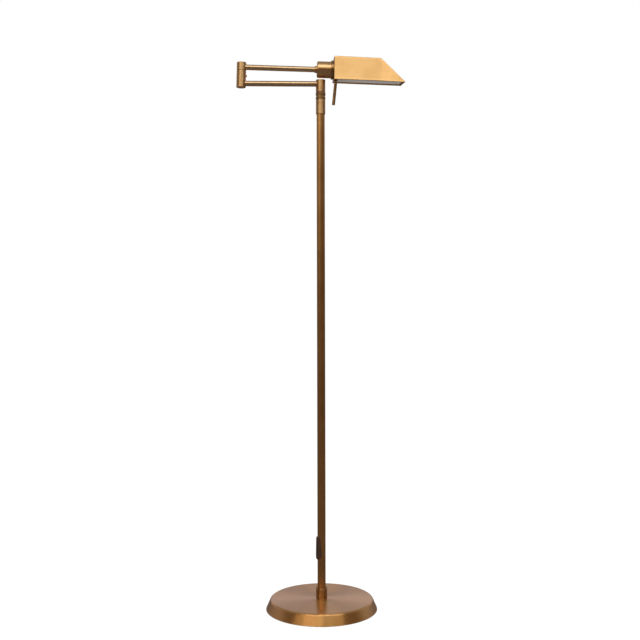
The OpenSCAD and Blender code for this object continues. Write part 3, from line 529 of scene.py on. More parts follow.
# %% Grommet
inlet = next(m for m in frame["record"]["mounts"] if m["name"] == "cord_inlet")
INLET = frame_of(inlet["pos_m"], inlet["axis"], (1, 0, 0))
lip_r, lip_in, lip_out = span("cord_grommet", INLET)
bore_r = inlet["dims"]["r_mm"]
LIP = 1.3
waist_r = bore_r + LIP
bush = turned([
    (bore_r, lip_in, 0.4), (lip_r, lip_in, 0.5), (lip_r, lip_in + LIP, 0.3), (waist_r, lip_in + LIP, 0.1),
    (waist_r, lip_out - LIP, 0.1), (lip_r, lip_out - LIP, 0.3), (lip_r - 0.5, lip_out, 0.6),
    (bore_r, lip_out, 0.5)], INLET, steps=64)
finish(make("rubber_inlet_bush", [bush], "stand", ["cord_grommet"]), RUBBER)

# %% [markdown]
# ## The pole and the height clamp
# The pole is one drawn tube. At its top a sleeve carries a knurled ring, which squeezes a nylon collet
# round the sliding stem. Knurling is two sets of fine grooves rolled in at opposite slants, and the
# metal between them stands up in small diamonds. It could be a bump map, but at the clamp's edge the
# diamonds show in outline, so the grooves are cut into the sheet itself.

# %% Pole, sleeve and stem
POLE_WALL = 1.2
THIN_WALL = 1.0        # wall of the stem and of both arms
TUBE_EDGE = 0.3


def tube_outline(radius, bore, start, end, edge=TUBE_EDGE):
    """Wall of a tube between two ends, all four edges broken."""
    return [(bore, start, edge), (radius, start, edge), (radius, end, edge), (bore, end, edge)]


pole = turned(tube_outline(pole_r, pole_r - POLE_WALL, pole_foot, pole_top), UPRIGHT)
brass_piece("drawn_pole", pole, "stand", "pole_tube", POLE_BRASS)

stem_r, stem_foot, stem_top = span("stem_tube", UPRIGHT)
stem = turned(tube_outline(stem_r, stem_r - THIN_WALL, stem_foot, stem_top), UPRIGHT)
brass_piece("sliding_stem", stem, "stem", "stem_tube")

sleeve_r, sleeve_foot, spigot_top = span("clamp_sleeve", UPRIGHT)
knurl_r, knurl_foot, knurl_top = span("lock_collar", UPRIGHT)
sleeve_top = knurl_foot - 0.3
SPIGOT_R = 9.4
SPIGOT_BORE = 8.4
STEM_GAP = 0.4         # room for the stem to slide
sleeve = turned([
    (pole_r + FIT, sleeve_foot, 0.2), (sleeve_r - 0.35, sleeve_foot, 0.2),
    (sleeve_r, sleeve_foot + 0.8, 0.4), (sleeve_r, sleeve_top, 0.5), (SPIGOT_R, sleeve_top),
    (SPIGOT_R, spigot_top, 0.2), (SPIGOT_BORE, spigot_top), (SPIGOT_BORE, pole_top + 2),
    (stem_r + STEM_GAP, pole_top + 2), (stem_r + STEM_GAP, pole_top), (pole_r + FIT, pole_top)], UPRIGHT)
brass_piece("clamp_sleeve_turned", sleeve, "stand", "clamp_sleeve")

# %% Knurled lock collar
DIAMONDS = 54          # diamonds round the ring
KNURL_DEPTH = 0.4
KNURL_STEPS = 432      # eight steps to a diamond
PLAIN_GROOVE = 1.3     # depth of the plain grooves beside the bands
ROW = 0.22             # height of one row of points in the knurled bands
LOWER_BAND = (1.4, 6.1)
UPPER_BAND = (knurl_top - knurl_foot - 5.6, knurl_top - knurl_foot - 0.6)


def knurl(t, h):
    """Depth of two crossed sets of round-bottomed grooves, fading out at the ends of each band."""
    z = h - knurl_foot
    pitch = 2 * np.pi * knurl_r / DIAMONDS
    a, b = DIAMONDS * t / 2 + np.pi * z / pitch, DIAMONDS * t / 2 - np.pi * z / pitch
    groove = 1 - np.abs(np.sin(a)) * np.abs(np.sin(b))
    inside = sum(np.clip((z - lo) / 0.3, 0, 1) * np.clip((hi - z) / 0.3, 0, 1)
                 for lo, hi in (LOWER_BAND, UPPER_BAND))
    return KNURL_DEPTH * groove ** 2 * inside * (h > 0)


def filled(outline, worn):
    """Adds rows of points, a row apart, wherever the outer line climbs."""
    points, wear = [outline[:1]], [worn[:1]]
    for i in range(1, len(outline)):
        a, b = outline[i - 1], outline[i]
        climbing = min(a[0], b[0]) > sleeve_r - 1.2 and abs(b[1] - a[1]) > ROW
        count = int(abs(b[1] - a[1]) / ROW) if climbing else 1
        k = np.linspace(0, 1, count + 1)[1:, None]
        points.append(a + (b - a) * k)
        wear.append(worn[i - 1] + (worn[i] - worn[i - 1]) * k[:, 0])
    return np.vstack(points), np.concatenate(wear)


lock_bore = stem_r + STEM_GAP
groove_r = knurl_r - PLAIN_GROOVE
lock_outline = rounded([
    (SPIGOT_R + FIT, knurl_foot), (groove_r, knurl_foot, 0.1), (groove_r, knurl_foot + 1.1, 0.1),
    (knurl_r - 0.2, knurl_foot + 1.4, 0.15), (knurl_r - 0.2, knurl_foot + 6.0, 0.15),
    (groove_r, knurl_foot + 6.5, 0.1), (groove_r, knurl_top - 5.9, 0.1),
    (knurl_r, knurl_top - 5.4, 0.15), (knurl_r, knurl_top, 0.6), (lock_bore, knurl_top, 0.3),
    (lock_bore, knurl_top - 1.8), (SPIGOT_R + FIT, knurl_top - 1.8)])
ring = turned(filled(*lock_outline), UPRIGHT, steps=KNURL_STEPS, relief=knurl)
brass_piece("knurled_lock_collar", ring, "lock_collar", "lock_collar", DARK_BRASS)

# %% [markdown]
# ## Hubs, arms and elbow
# Both hubs are short turned cylinders with a cap pressed into the end; the seam round each cap is a
# hair-wide ring. The arms are plain tubes let into the hubs. Drawing each as its own turned outline
# keeps the joint line of the elbow and the seams of the caps as real gaps.

# %% Hubs and caps
HUB_EDGE = 0.9
CAP_EDGE = 0.25
HUB_WEB = 5.0
LEAD_BORE = 5.05       # bore of the pieces that the lead passes through
ELBOW_BORE = 6.05
cap_r = span("hub_cap", UPRIGHT)[0]
cavity = cap_r + FIT


def hub(name, node, place, bore, hollow_top, body, taper=1.0):
    """A turned hub: rounded at its edges, slightly tapered at its foot, hollow at the end that takes
    the pressed-in cap, with a web and a bore at the other end."""
    r, foot, top = span(node, place)
    outside = [(r - 0.3 * taper, foot, 0.4), (r, foot + taper, 0.8 * taper), (r, top, HUB_EDGE)]
    if hollow_top:
        web = foot + HUB_WEB
        outline = [(bore, foot)] + outside + [(cavity, top, CAP_EDGE), (cavity, web), (bore, web)]
    else:
        web = top - HUB_WEB
        outline = [(cavity, foot, CAP_EDGE)] + outside + [(bore, top), (bore, web), (cavity, web)]
    print(name, "from", round(foot, 1), "to", round(top, 1))
    return brass_piece(name, turned(outline, place), body, node)


def cap(name, node, place, body, seen_top):
    """A pressed-in disc, its seen edge just broken."""
    r, foot, top = span(node, place)
    edges = (0, CAP_EDGE) if seen_top else (CAP_EDGE, 0)
    disc = turned([(0, foot), (r, foot, edges[0]), (r, top, edges[1]), (0, top)], place, closed=False)
    return brass_piece(name, disc, body, node)


hub("turned_pole_hub", "pole_hub", UPRIGHT, LEAD_BORE, True, "lower_arm", taper=2.0)
cap("pressed_hub_cap", "hub_cap", UPRIGHT, "lower_arm", True)
hub("turned_elbow_barrel", "elbow_barrel", ELBOW, ELBOW_BORE, False, "lower_arm")
cap("pressed_elbow_foot_cap", "elbow_foot_cap", ELBOW, "lower_arm", False)
hub("turned_elbow_hub", "elbow_hub", ELBOW, ELBOW_BORE, True, "upper_arm")
cap("pressed_elbow_cap", "elbow_cap", ELBOW, "upper_arm", True)

# %% Arm tubes
arm_r, lower_start, lower_end = span("lower_arm_tube", LOWER_ARM)
lower_arm = turned(tube_outline(arm_r, arm_r - THIN_WALL, lower_start, lower_end), LOWER_ARM)
brass_piece("lower_arm_drawn", lower_arm, "lower_arm", "lower_arm_tube", ARM_BRASS)
upper_r, upper_start, upper_end = span("upper_arm_tube", ARM)
upper_arm = turned(tube_outline(upper_r, upper_r - THIN_WALL, upper_start, upper_end), ARM)
brass_piece("upper_arm_drawn", upper_arm, "upper_arm", "upper_arm_tube", ARM_BRASS)

# %% [markdown]
# ## Cup and cone
# A short cone screws the socket cup to the arm. The cup is a turned bell with a soft back edge that
# opens slightly at its mouth, where the shade's flange meets it. Stacked cylinders and cones would need
# a bevel at every step; in one outline each step has the radius that its tool left.

# %% Ferrule, cup and shade collar
cone_r, cone_start = span("arm_ferrule", ARM)[:2]
cup_r, cup_back, cup_mouth = span("socket_cup", ARM)
step_r, cone_back, cone_front = (upper_r + cone_r) / 2, cone_start + 2, cup_back - 0.1
cone = turned([
    (upper_r + FIT, cone_back, 0.2), (upper_r + 0.6, cone_back, 0.3), (upper_r + 0.8, cone_back + 2.2, 0.2),
    (step_r, cone_back + 3, 0.3), (step_r + 0.4, cup_back - 2.6, 0.3), (step_r - 0.4, cup_back - 2.2, 0.15),
    (step_r - 0.4, cone_front), (upper_r + FIT, cone_front)], ARM)
brass_piece("arm_cone", cone, "upper_arm", "arm_ferrule")

CUP_WALL = 2.0
FLARE = 0.4
cup_body = cup_r - FLARE
cup_bore = cup_body - CUP_WALL
cup = turned([
    (LEAD_BORE, cup_back), (cup_body, cup_back, 3.5), (cup_body, cup_mouth - 8, 8),
    (cup_body + 0.15, cup_mouth - 3, 4), (cup_r, cup_mouth, 0.45), (cup_bore, cup_mouth, 0.3),
    (cup_bore, cup_back + CUP_WALL, 1.2), (LEAD_BORE, cup_back + CUP_WALL)], ARM)
brass_piece("socket_cup_turned", cup, "upper_arm", "socket_cup")

flange_r, flange_back, collar_end = span("shade_collar", ARM)
shade_back = node_points("shade_shell", ARM)[:, 2].min()
journal_r = span("journal_tube", ARM)[0]
flange_front = flange_back + 3.7
flange_bore, barrel_r = journal_r + FIT, journal_r + 2.05
flange = turned([
    (flange_bore, flange_back, 0.1), (flange_r, flange_back, 0.6), (flange_r, flange_front, 0.5),
    (flange_r - 1, flange_front, 0.15), (flange_r - 1, shade_back, 0.2), (barrel_r, shade_back),
    (barrel_r, collar_end, 0.4), (flange_bore, collar_end, 0.2)], ARM)
brass_piece("stepped_shade_collar", flange, "shade", "shade_collar", DARK_BRASS)
print("cup", round(cup_back, 1), round(cup_mouth, 1), "shade back", round(shade_back, 1))

# %% [markdown]
# ## Lock ring and handle rod
# Inside the shade a heavy ring clamps the sheet to its collar, and a plain rod is screwed into the
# ring to turn the shade by. A cylinder with a bevel would nearly do for the rod, but its two ends
# differ: the free one is rounded over, and the other steps down to a peg. So it has an outline too.

# %% Lock ring and rod
ring_r, ring_start, ring_end = span("shade_lock_ring", ARM)
ring_bore, belt_r = barrel_r + FIT, ring_r - 0.5
lock_ring = turned([
    (ring_bore, ring_start, 0.3), (ring_r, ring_start, 0.6), (ring_r, ring_start + 2.6, 0.2),
    (belt_r, ring_start + 3.0, 0.2), (belt_r, ring_end - 3.0, 0.2), (ring_r, ring_end - 2.6, 0.2),
    (ring_r, ring_end, 0.6), (ring_bore, ring_end, 0.3)], ARM)
finish(make("shade_ring_turned", [lock_ring], "shade", ["shade_lock_ring"]), RAW_BRASS)

REST_TURN = -math.radians(sum(roll_joint["range_deg"]) / 2)
ROD_LEAN = math.radians(4)
along_arm, arm_up, towards = ARM[:3, 2], ARM[:3, 0], ARM[:3, 1]
shade_up = math.cos(REST_TURN) * arm_up + math.sin(REST_TURN) * towards
SHADE = frame_of(ARM[:3, 3], shade_up, along_arm)
rod_up = math.cos(ROD_LEAN) * shade_up + math.sin(ROD_LEAN) * along_arm
rod_seat = lay(np.array([[(ring_start + ring_end) / 2, 0, -ring_r]]), SHADE)[0]
ROD = frame_of(rod_seat, rod_up, along_arm)
rod_r, rod_foot, rod_head = span("handle_rod", ROD)
ROD_SEAT = -0.2        # shoulder of the rod, just outside the ring
PEG_R = 2.0            # peg that goes into the ring
rod = turned([
    (0, rod_foot), (rod_r, rod_foot, 0.9), (rod_r, ROD_SEAT, 0.4), (PEG_R, ROD_SEAT),
    (PEG_R, rod_head, 0.3), (0, rod_head)], ROD, closed=False, steps=64)
brass_piece("handle_rod_turned", rod, "shade", "handle_rod", DARK_BRASS)
print("rod", round(2 * rod_r, 2), "mm thick, turn at rest", round(math.degrees(REST_TURN), 2))

# %% [markdown]
# ## Lamp holder and lamp
# The shade turns on a thin brass journal, and the lamp holder sits inside it. A tubular lamp with a
# screw cap goes into the holder. The cap's thread is rolled, so it is a wave along the cap that climbs
# one pitch in a turn, and not a stack of rings.

# %% Journal, holder, screw cap and lamp
THREAD_PITCH = 3.6
THREAD_DEPTH = 0.9
journal_start, journal_end = span("journal_tube", ARM)[1:]
journal = turned([
    (LEAD_BORE, journal_start), (journal_r, journal_start, 0.3), (journal_r, journal_end, 0.3),
    (journal_r - 1, journal_end, 0.3), (journal_r - 1, journal_start + 1.5),
    (LEAD_BORE, journal_start + 1.5)], ARM)
finish(make("shade_journal", [journal], "upper_arm", ["journal_tube"]), RAW_BRASS)

holder_r, holder_start, holder_end = span("lamp_holder", ARM)
bulb_cap_r, bulb_cap_start, bulb_cap_end = span("bulb_cap", ARM)
holder_bore, holder_lip_r = bulb_cap_r + 0.5, holder_r - 0.4
holder = turned([
    (LEAD_BORE, holder_start), (holder_r, holder_start, 1.0), (holder_r, holder_end - 3.4, 0.2),
    (holder_lip_r, holder_end - 3.0, 0.2), (holder_lip_r, holder_end, 0.4), (holder_bore, holder_end, 0.3),
    (holder_bore, holder_start + 4), (LEAD_BORE, holder_start + 4)], ARM)
finish(make("lamp_holder_moulded", [holder], "upper_arm", ["lamp_holder"]), BLACK)

thread_start, thread_end = bulb_cap_start + 4.8, bulb_cap_end - 1.5
THREAD_ROWS = 60


def thread(t, h):
    """A rolled thread: a wave along the cap, shifted by one pitch over a full turn."""
    wave = 0.5 + 0.5 * np.cos(2 * np.pi * h / THREAD_PITCH - t)
    fade = np.clip((h - thread_start) / 1.5, 0, 1) * np.clip((thread_end - h) / 1.5, 0, 1)
    return THREAD_DEPTH * wave * fade


climb = np.linspace(thread_start - 0.4, thread_end + 0.4, THREAD_ROWS)
threaded = np.stack([np.full(THREAD_ROWS, bulb_cap_r), climb], 1)
cap_outline = np.vstack([
    [(0, bulb_cap_start), (4.5, bulb_cap_start), (5, bulb_cap_start + 0.8), (9, bulb_cap_start + 1.3)],
    threaded, [(bulb_cap_r, bulb_cap_end), (bulb_cap_r - 0.4, bulb_cap_end),
               (bulb_cap_r - 0.6, bulb_cap_end - 1), (0, bulb_cap_end - 1)]])
screw_cap = turned((cap_outline, np.zeros(len(cap_outline))), ARM, closed=False, relief=thread)
finish(make("lamp_screw_cap", [screw_cap], "upper_arm", ["bulb_cap"]), NICKEL)

glass_r, glass_start, glass_end = span("bulb_glass", ARM)
glass_foot_r = bulb_cap_r - 0.7
glass = turned([
    (0, glass_start + 6), (glass_foot_r, glass_start + 6), (glass_foot_r, bulb_cap_end + 1.5, 2),
    (glass_r, bulb_cap_end + 7, 6), (glass_r, glass_end, 12), (0, glass_end)], ARM, closed=False)
finish(make("tubular_opal_lamp", [glass], "upper_arm", ["bulb_glass"]), OPAL)
print("lamp", round(2 * glass_r, 1), "mm across, reaching", round(glass_end, 1))

# %% [markdown]
# ## The shade
# The shade is one folded sheet: a flat top, two sides that lean in, an upright back with a round hole,
# and a front that slopes at nearly 45 degrees, open below. Its folds have a small inside radius, and the
# bottom edge is turned up into a narrow hem. It could be a box with cut corners, but real folds are
# round, and on brushed metal each fold shows as a thin line of light. So the sheet is made as a
# cross-section carried along the shade, low where the front slopes, and gets its thickness last.

# %% Measures of the shade
shade_points = node_points("shade_shell", SHADE)
shade_low, shade_high = shade_points.min(0), shade_points.max(0)
BACK, FRONT, TOP = shade_low[0], shade_high[0], shade_high[2]
at_back = shade_points[shade_points[:, 0] < BACK + 0.01]
FOOT, HALF_FOOT = at_back[:, 2].min(), at_back[:, 1].max()
HALF_TOP = at_back[at_back[:, 2] > TOP - 0.01][:, 1].max()
roof = shade_points[shade_points[:, 2] > TOP - 5]
roof_end = roof[roof[:, 0].argmax()]
TIP = shade_points[shade_points[:, 0].argmax()]
LEAN = math.atan2(HALF_FOOT - HALF_TOP, TOP - FOOT)
SLOPE = math.atan2(TIP[0] - roof_end[0], roof_end[2] - TIP[2])
TOP_FALL = (TOP - roof_end[2]) / (roof_end[0] - BACK)
EDGE_FALL = (FOOT - TIP[2]) / (TIP[0] - BACK)
print("shade", [round(v, 1) for v in (BACK, FRONT, FOOT, TOP, HALF_FOOT, HALF_TOP)], "leans",
      [round(math.degrees(v), 1) for v in (LEAN, SLOPE)], "falls", round(TOP_FALL, 4), round(EDGE_FALL, 4))

# %% Folded sheet
FOLD = 2.0             # outside radius of the long folds
BACK_FOLD = 1.6        # outside radius of the folds round the back
HEM = 3.4              # width of the turned-up hem
HEM_LIFT = 0.3         # how far the hem stands out
FRONT_FOLD = 5         # radius of the fold between the top and the sloping front
SIDE_POINTS, FOLD_POINTS, TOP_POINTS = 22, 8, 17
TOP_ROWS, FRONT_ROWS = 24, 34


def falling(height, fall, x):
    """Height at x of a line that starts at a height at the shade's back and falls evenly."""
    return height - (x - BACK) * fall


def at_front(height, fall, inset):
    """Corner where such a line meets the sloping front, which is moved in by inset."""
    lean = math.tan(SLOPE)
    x = (TIP[0] - inset / math.cos(SLOPE) - (height + BACK * fall - TIP[2]) * lean) / (1 - fall * lean)
    return x, falling(height, fall, x)


def section(height, foot, inset, fold):
    """Cross-section rows for stations: up the near side from the foot to the height, round a fold,
    across the top, round a fold and down the far side. Each argument holds one value per station."""
    height, foot, inset, fold = (np.asarray(v, float)[:, None] for v in (height, foot, inset, fold))
    half_foot = HALF_FOOT - inset / math.cos(LEAN) - (foot - FOOT) * math.tan(LEAN)
    rise = height - foot
    fold = np.minimum(fold, 0.6 * rise)
    half_top = half_foot - rise * math.tan(LEAN)
    cut = fold * math.tan((math.pi / 2 - LEAN) / 2)
    k = np.linspace(0, 1, SIDE_POINTS)[None, :-1] ** 1.25
    up = (rise / math.cos(LEAN) - cut) * k
    side_y, side_z = half_foot - up * math.sin(LEAN), foot + up * math.cos(LEAN)
    angle = np.linspace(LEAN, math.pi / 2, FOLD_POINTS)[None, :]
    fold_y = half_top - cut + fold * np.cos(angle)
    fold_z = height - fold + fold * np.sin(angle)
    top_y = (half_top - cut) * np.linspace(1, -1, TOP_POINTS)[None, 1:-1]
    top_z = height + 0 * top_y
    y = np.concatenate([side_y, fold_y, top_y, -fold_y[:, ::-1], -side_y[:, ::-1]], axis=1)
    z = np.concatenate([side_z, fold_z, top_z, fold_z[:, ::-1], side_z[:, ::-1]], axis=1)
    worn = np.concatenate([0 * side_y, 0 * fold_y + 1, 0 * top_y, 0 * fold_y + 1, 0 * side_y], axis=1)
    return -y, z, worn


def back_wall(first, foot, hole, worn):
    """The shade's back as rows from the shell's first cross-section to a round hole. Where the hole
    reaches below the foot, the wall is open there, and its lower edge ends at the hole."""
    x, half = first[0, 0], first[-1, 1]
    notch = math.sqrt(max(hole ** 2 - foot ** 2, 0))
    if notch > 0:
        edge = np.linspace(half, notch, 10)[1:]
        near = np.stack([x + 0 * edge, -edge[::-1], foot + 0 * edge], -1)
        far = np.stack([x + 0 * edge, edge, foot + 0 * edge], -1)
        rim, worn = np.vstack([near, first, far]), np.concatenate([0 * edge, worn, 0 * edge])
    else:
        edge = np.linspace(half, -half, 19)[1:-1]
        rim = np.vstack([first, np.stack([x + 0 * edge, edge, foot + 0 * edge], -1)])
        worn = np.concatenate([worn, 0 * edge])
    around = np.arctan2(rim[:, 2], rim[:, 1])
    inner = np.stack([rim[:, 0], hole * np.cos(around), hole * np.sin(around)], -1)
    k = (np.linspace(0, 1, 14) ** 0.9)[:, None, None]
    back = rim + (inner - rim) * k
    grain = np.stack([back[..., 1], 0 * back[..., 0], back[..., 2]], -1)
    loop = back if notch > 0 else np.concatenate([back, back[:, :1]], axis=1)
    return dict(points=back, wrap=(False, notch == 0), grain=grain, uv=loop[..., 1:] * MM,
                wear=worn[None, :] * (k[:, :, 0] < 0.02))


def folded(lift, inset, hole):
    """The shade's sheet as two grids: the shell, whose stations run round the back fold, along the top
    and down the sloping front, and the back, whose rows run from the shell's edge to a round hole."""
    a = np.linspace(0, math.pi / 2, FOLD_POINTS)
    back_fold = max(BACK_FOLD - inset, 0.5)
    x_back = BACK + inset + back_fold * (1 - np.cos(a))
    extra = back_fold * (1 - np.sin(a))
    start = (x_back[-1], falling(TOP - inset, TOP_FALL, x_back[-1]))
    line, crest = rounded([start, (*at_front(TOP - inset, TOP_FALL, inset), FRONT_FOLD),
                           at_front(FOOT + lift, EDGE_FALL, inset)], closed=False)
    near, far = (np.linspace(0, 1, rows)[1:, None] for rows in (TOP_ROWS, FRONT_ROWS))
    path = np.vstack([line[:1] + (line[1] - line[0]) * near, line[2:-1],
                      line[-2] + (line[-1] - line[-2]) * far])
    crest = np.concatenate([0 * near[:, 0], crest[2:-1], 0 * far[:, 0]])
    x = np.concatenate([x_back, path[:, 0]])
    height = np.concatenate([falling(TOP - inset, TOP_FALL, x_back) - extra, path[:, 1]])
    foot = falling(FOOT + lift, EDGE_FALL, x)
    shrink = inset + np.concatenate([extra, 0 * path[:, 0]])
    y, z, worn = section(height, foot, shrink, np.full(len(x), max(FOLD - inset, 0.6)))
    worn = np.maximum(worn, 0.8 * np.concatenate([0.9 * np.sin(2 * a), crest])[:, None])
    shell = np.stack([x[:, None] + 0 * y, y, z], axis=-1)
    across = np.cumsum(np.concatenate([0 * y[:, :1], np.hypot(np.diff(y), np.diff(z))], axis=1), axis=1)
    across -= across[:, -1:] / 2
    run = lengths(path)
    run = np.concatenate([x_back - x_back[-1], run + 1])[:, None] + 0 * y
    shell_sheet = dict(points=shell, wrap=(False, False), grain=np.stack([run, 0 * run, across], -1),
                       wear=worn, uv=np.stack([run, across], -1) * MM)
    return shell_sheet, back_wall(shell[0], foot[0], hole, worn[0])


def hemmed(sheets):
    """Lifts the shell outwards, square to itself, over the width of the hem along its foot, and paints
    the hem lighter: partly rubbed wear, partly a painted highlight along the edge.
    """
    sheet = sheets[0]
    p = sheet["points"]
    normal = np.cross(np.gradient(p, axis=0), np.gradient(p, axis=1))
    normal /= np.maximum(np.linalg.norm(normal, axis=-1, keepdims=True), 1e-9)
    centre = np.array([(BACK + FRONT) / 2, 0, FOOT])
    normal *= np.sign(np.sum(normal * (p - centre), axis=-1, keepdims=True))
    k = np.clip((falling(FOOT, EDGE_FALL, p[..., 0]) + HEM - p[..., 2]) / 0.7, 0, 1)
    k = k * k * (3 - 2 * k)
    sheet["points"] = p + normal * (HEM_LIFT * k)[..., None] * np.array([0.4, 1, 0])
    # Painted highlight: the hem is made lighter, partly as rubbed wear and partly as a painted highlight.
    sheet["wear"] = np.maximum(sheet["wear"], 0.55 * k)
    return sheets


def shade_piece(name, sheets, thickness, node, material):
    """The folded sheet in the shade's frame, thickened inwards."""
    for sheet in sheets:
        sheet["points"] = lay(sheet["points"].reshape(-1, 3), SHADE).reshape(sheet["points"].shape)
    piece = make(name, sheets, "shade", [node], crease=50, close=False)
    wall = piece.modifiers.new("sheet", "SOLIDIFY")
    wall.thickness = thickness * MM
    wall.offset = -1
    wall.use_even_offset = True
    return finish(piece, material)


SHADE_SHEET, LINER_SHEET = 1.0, 0.5
REFLECTOR_UP = 3.4     # bare brass rim between the open edge and the reflector
shade_piece("folded_shade", hemmed(folded(0.0, 0.0, ring_bore)), SHADE_SHEET,
            "shade_shell", SHADE_BRASS)
shade_piece("white_reflector", folded(REFLECTOR_UP, SHADE_SHEET + 0.02, ring_r + 0.15), LINER_SHEET,
            "shade_liner", ENAMEL)

# %% [markdown]
# ## The slide dimmer and the screws
# A long moulded housing hugs the pole near its foot. Its outline is a drop: a wide round lower end and
# a narrow upper one. A slot runs up its middle for the slider. It could be cut from a block with
# booleans, but they leave uneven faces where a slot meets a rounded roof. Such a moulding is easier as
# a height drawn over its outline: high in the middle, rolling off at the edge, and dropping straight
# down at the slot. The slotted heads of the screws are made the same way.

# %% Moulded plate with a slot
def slotted_plate(rows, half_width, height, foot, slot_half, slot_rows, depth, place, columns=18):
    """Grid over an outline whose half width is known for each row: columns run from edge to edge,
    with one pair on each wall of the slot, and rows have a pair at each end of it. The height is a
    function of the place across and along; inside the slot it is lower by the slot's depth. The last
    columns come back under the plate at its foot."""
    ends = [r for r in slot_rows if rows[0] < r < rows[-1]]
    rows = np.sort(np.concatenate([rows] + [[r, r] for r in ends]))
    inside = (rows > slot_rows[0]) & (rows < slot_rows[1])
    for r, first in zip(slot_rows, (False, True)):
        pair = np.flatnonzero(rows == r)
        if len(pair):
            inside[pair[0 if first else 1]] = True
    w = half_width(rows)[:, None]
    slot = np.minimum(slot_half, 0.6 * w)
    edge = 1 - np.linspace(1, 0, columns)[None, :] ** 2
    outer = -w + (w - slot) * edge
    middle = slot * np.linspace(-1, 1, 7)[None, :]
    u = np.concatenate([outer, middle, -outer[:, ::-1]], axis=1)
    low = np.concatenate([np.zeros(columns), np.ones(7), np.zeros(columns)])[None, :] * inside[:, None]
    v = rows[:, None] + 0 * u
    h = height(u, v) - depth * low
    under = np.stack([foot(u[:, :1]), foot(u[:, -1:])], 0)
    u = np.concatenate([u, u[:, -1:], 0 * u[:, :1], u[:, :1]], axis=1)
    v = np.concatenate([v, v[:, :3]], axis=1)
    h = np.concatenate([h, under[1], foot(0 * u[:, :1]), under[0]], axis=1)
    points = np.stack([h, u, v], axis=-1)
    uv = np.concatenate([points, points[:, :1]], axis=1)[..., 1:]
    return dict(points=lay(points.reshape(-1, 3), place).reshape(points.shape), wrap=(False, True),
                grain=points, wear=0 * u, uv=uv * MM)


# %% Dimmer housing, knob and screws
DIMMER_WIDE, DIMMER_NARROW = 8.2, 5.5
DIMMER_EDGE = 1.6
KNOB_HALF = 2.4
KNOB_LENGTH = 10.0
TRAVEL = 20.0
GAP = 0.3
housing_low, housing_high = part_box("dimmer_housing")
middle = (housing_low + housing_high) / 2
dimmer_way = math.atan2(middle.y, middle.x)
dimmer_start = housing_low.z / MM + DIMMER_WIDE
DIMMER = frame_of((0, 0, dimmer_start * MM), (0, 0, 1), (math.cos(dimmer_way), math.sin(dimmer_way), 0))
housing = node_points("dimmer_housing", DIMMER)
knob = node_points("dimmer_slider", DIMMER)
ROOF_R = np.hypot(housing[:, 0], housing[:, 1]).max()
KNOB_R = np.hypot(knob[:, 0], knob[:, 1]).max()
DROP_SPAN = housing[:, 2].max() - DIMMER_NARROW
taper = math.asin((DIMMER_WIDE - DIMMER_NARROW) / DROP_SPAN)
print("dimmer faces", round(math.degrees(dimmer_way) % 360, 1), "degrees, radius", round(ROOF_R, 2))


def drop_half(v):
    """Half width of the drop at each height: two circles and the straight flanks that touch both."""
    low = np.sqrt(np.clip(DIMMER_WIDE ** 2 - v ** 2, 0, None))
    high = np.sqrt(np.clip(DIMMER_NARROW ** 2 - (v - DROP_SPAN) ** 2, 0, None))
    flank = (DIMMER_WIDE - v * math.sin(taper)) / math.cos(taper)
    from_low, from_high = DIMMER_WIDE * math.sin(taper), DROP_SPAN + DIMMER_NARROW * math.sin(taper)
    return np.where(v < from_low, low, np.where(v > from_high, high, flank))


def drop_inset(u, v):
    """Distance of a point from the drop's outline: from each point's nearest place on the spine."""
    t = np.clip((v - np.abs(u) * math.tan(taper)) / DROP_SPAN, 0, 1)
    r = DIMMER_WIDE + (DIMMER_NARROW - DIMMER_WIDE) * t
    return np.maximum(r - np.hypot(u, v - t * DROP_SPAN), 0)


def drop_height(u, v):
    """The housing's roof follows a circle round the pole and rolls off over its edge."""
    k = np.clip(drop_inset(u, v) / DIMMER_EDGE, 0, 1)
    return np.sqrt(ROOF_R ** 2 - u ** 2) - DIMMER_EDGE * (1 - np.sqrt(1 - (1 - k) ** 2))


def on_pole(u):
    """Height of the pole's surface under a place across."""
    return np.sqrt((pole_r + FIT) ** 2 - u ** 2)


bend = np.linspace(0, math.pi / 2, 14)
rows = np.concatenate([-DIMMER_WIDE * np.cos(bend), np.linspace(0, DROP_SPAN, 40)[1:-1],
                       DROP_SPAN + DIMMER_NARROW * np.sin(bend)])
slot_foot = knob[:, 2].min() + 2 - GAP
slot_rows = (slot_foot, slot_foot + KNOB_LENGTH + TRAVEL + 2 * GAP)
plate = slotted_plate(rows, drop_half, drop_height, on_pole, KNOB_HALF + GAP, slot_rows, 1.4, DIMMER)
finish(make("moulded_dimmer_housing", [plate], "stand", ["dimmer_housing"],
            crease=45), BROWN)

RIDGES = 5
knob_foot = slot_rows[0] + GAP
knob_rows = np.linspace(knob_foot, knob_foot + KNOB_LENGTH, 61)


def knob_half(v):
    """Half width of the knob, rounded at both of its ends."""
    near_end = np.minimum(v - knob_foot, knob_foot + KNOB_LENGTH - v)
    k = np.clip(near_end / 0.8, 0, 1)
    return KNOB_HALF - 0.8 * (1 - np.sqrt(1 - (1 - k) ** 2)) - 1.6 * (near_end <= 0)


def knob_height(u, v):
    """The knob's top follows the housing, with finger ridges across it."""
    ridges = 0.22 * (0.5 + 0.5 * np.cos(2 * np.pi * RIDGES * (v - knob_foot) / KNOB_LENGTH))
    roll = np.clip((KNOB_HALF - np.abs(u)) / 0.5, 0, 1)
    return np.sqrt(KNOB_R ** 2 - u ** 2) - ridges - 0.4 * (1 - roll) ** 2


knob_plate = slotted_plate(knob_rows, knob_half, knob_height, lambda u: 0 * u + ROOF_R - 1.6, 0.5,
                           (0, 0), 0, DIMMER)
finish(make("ridged_dimmer_knob", [knob_plate], "dimmer_slider", ["dimmer_slider"],
            crease=45), BLACK)


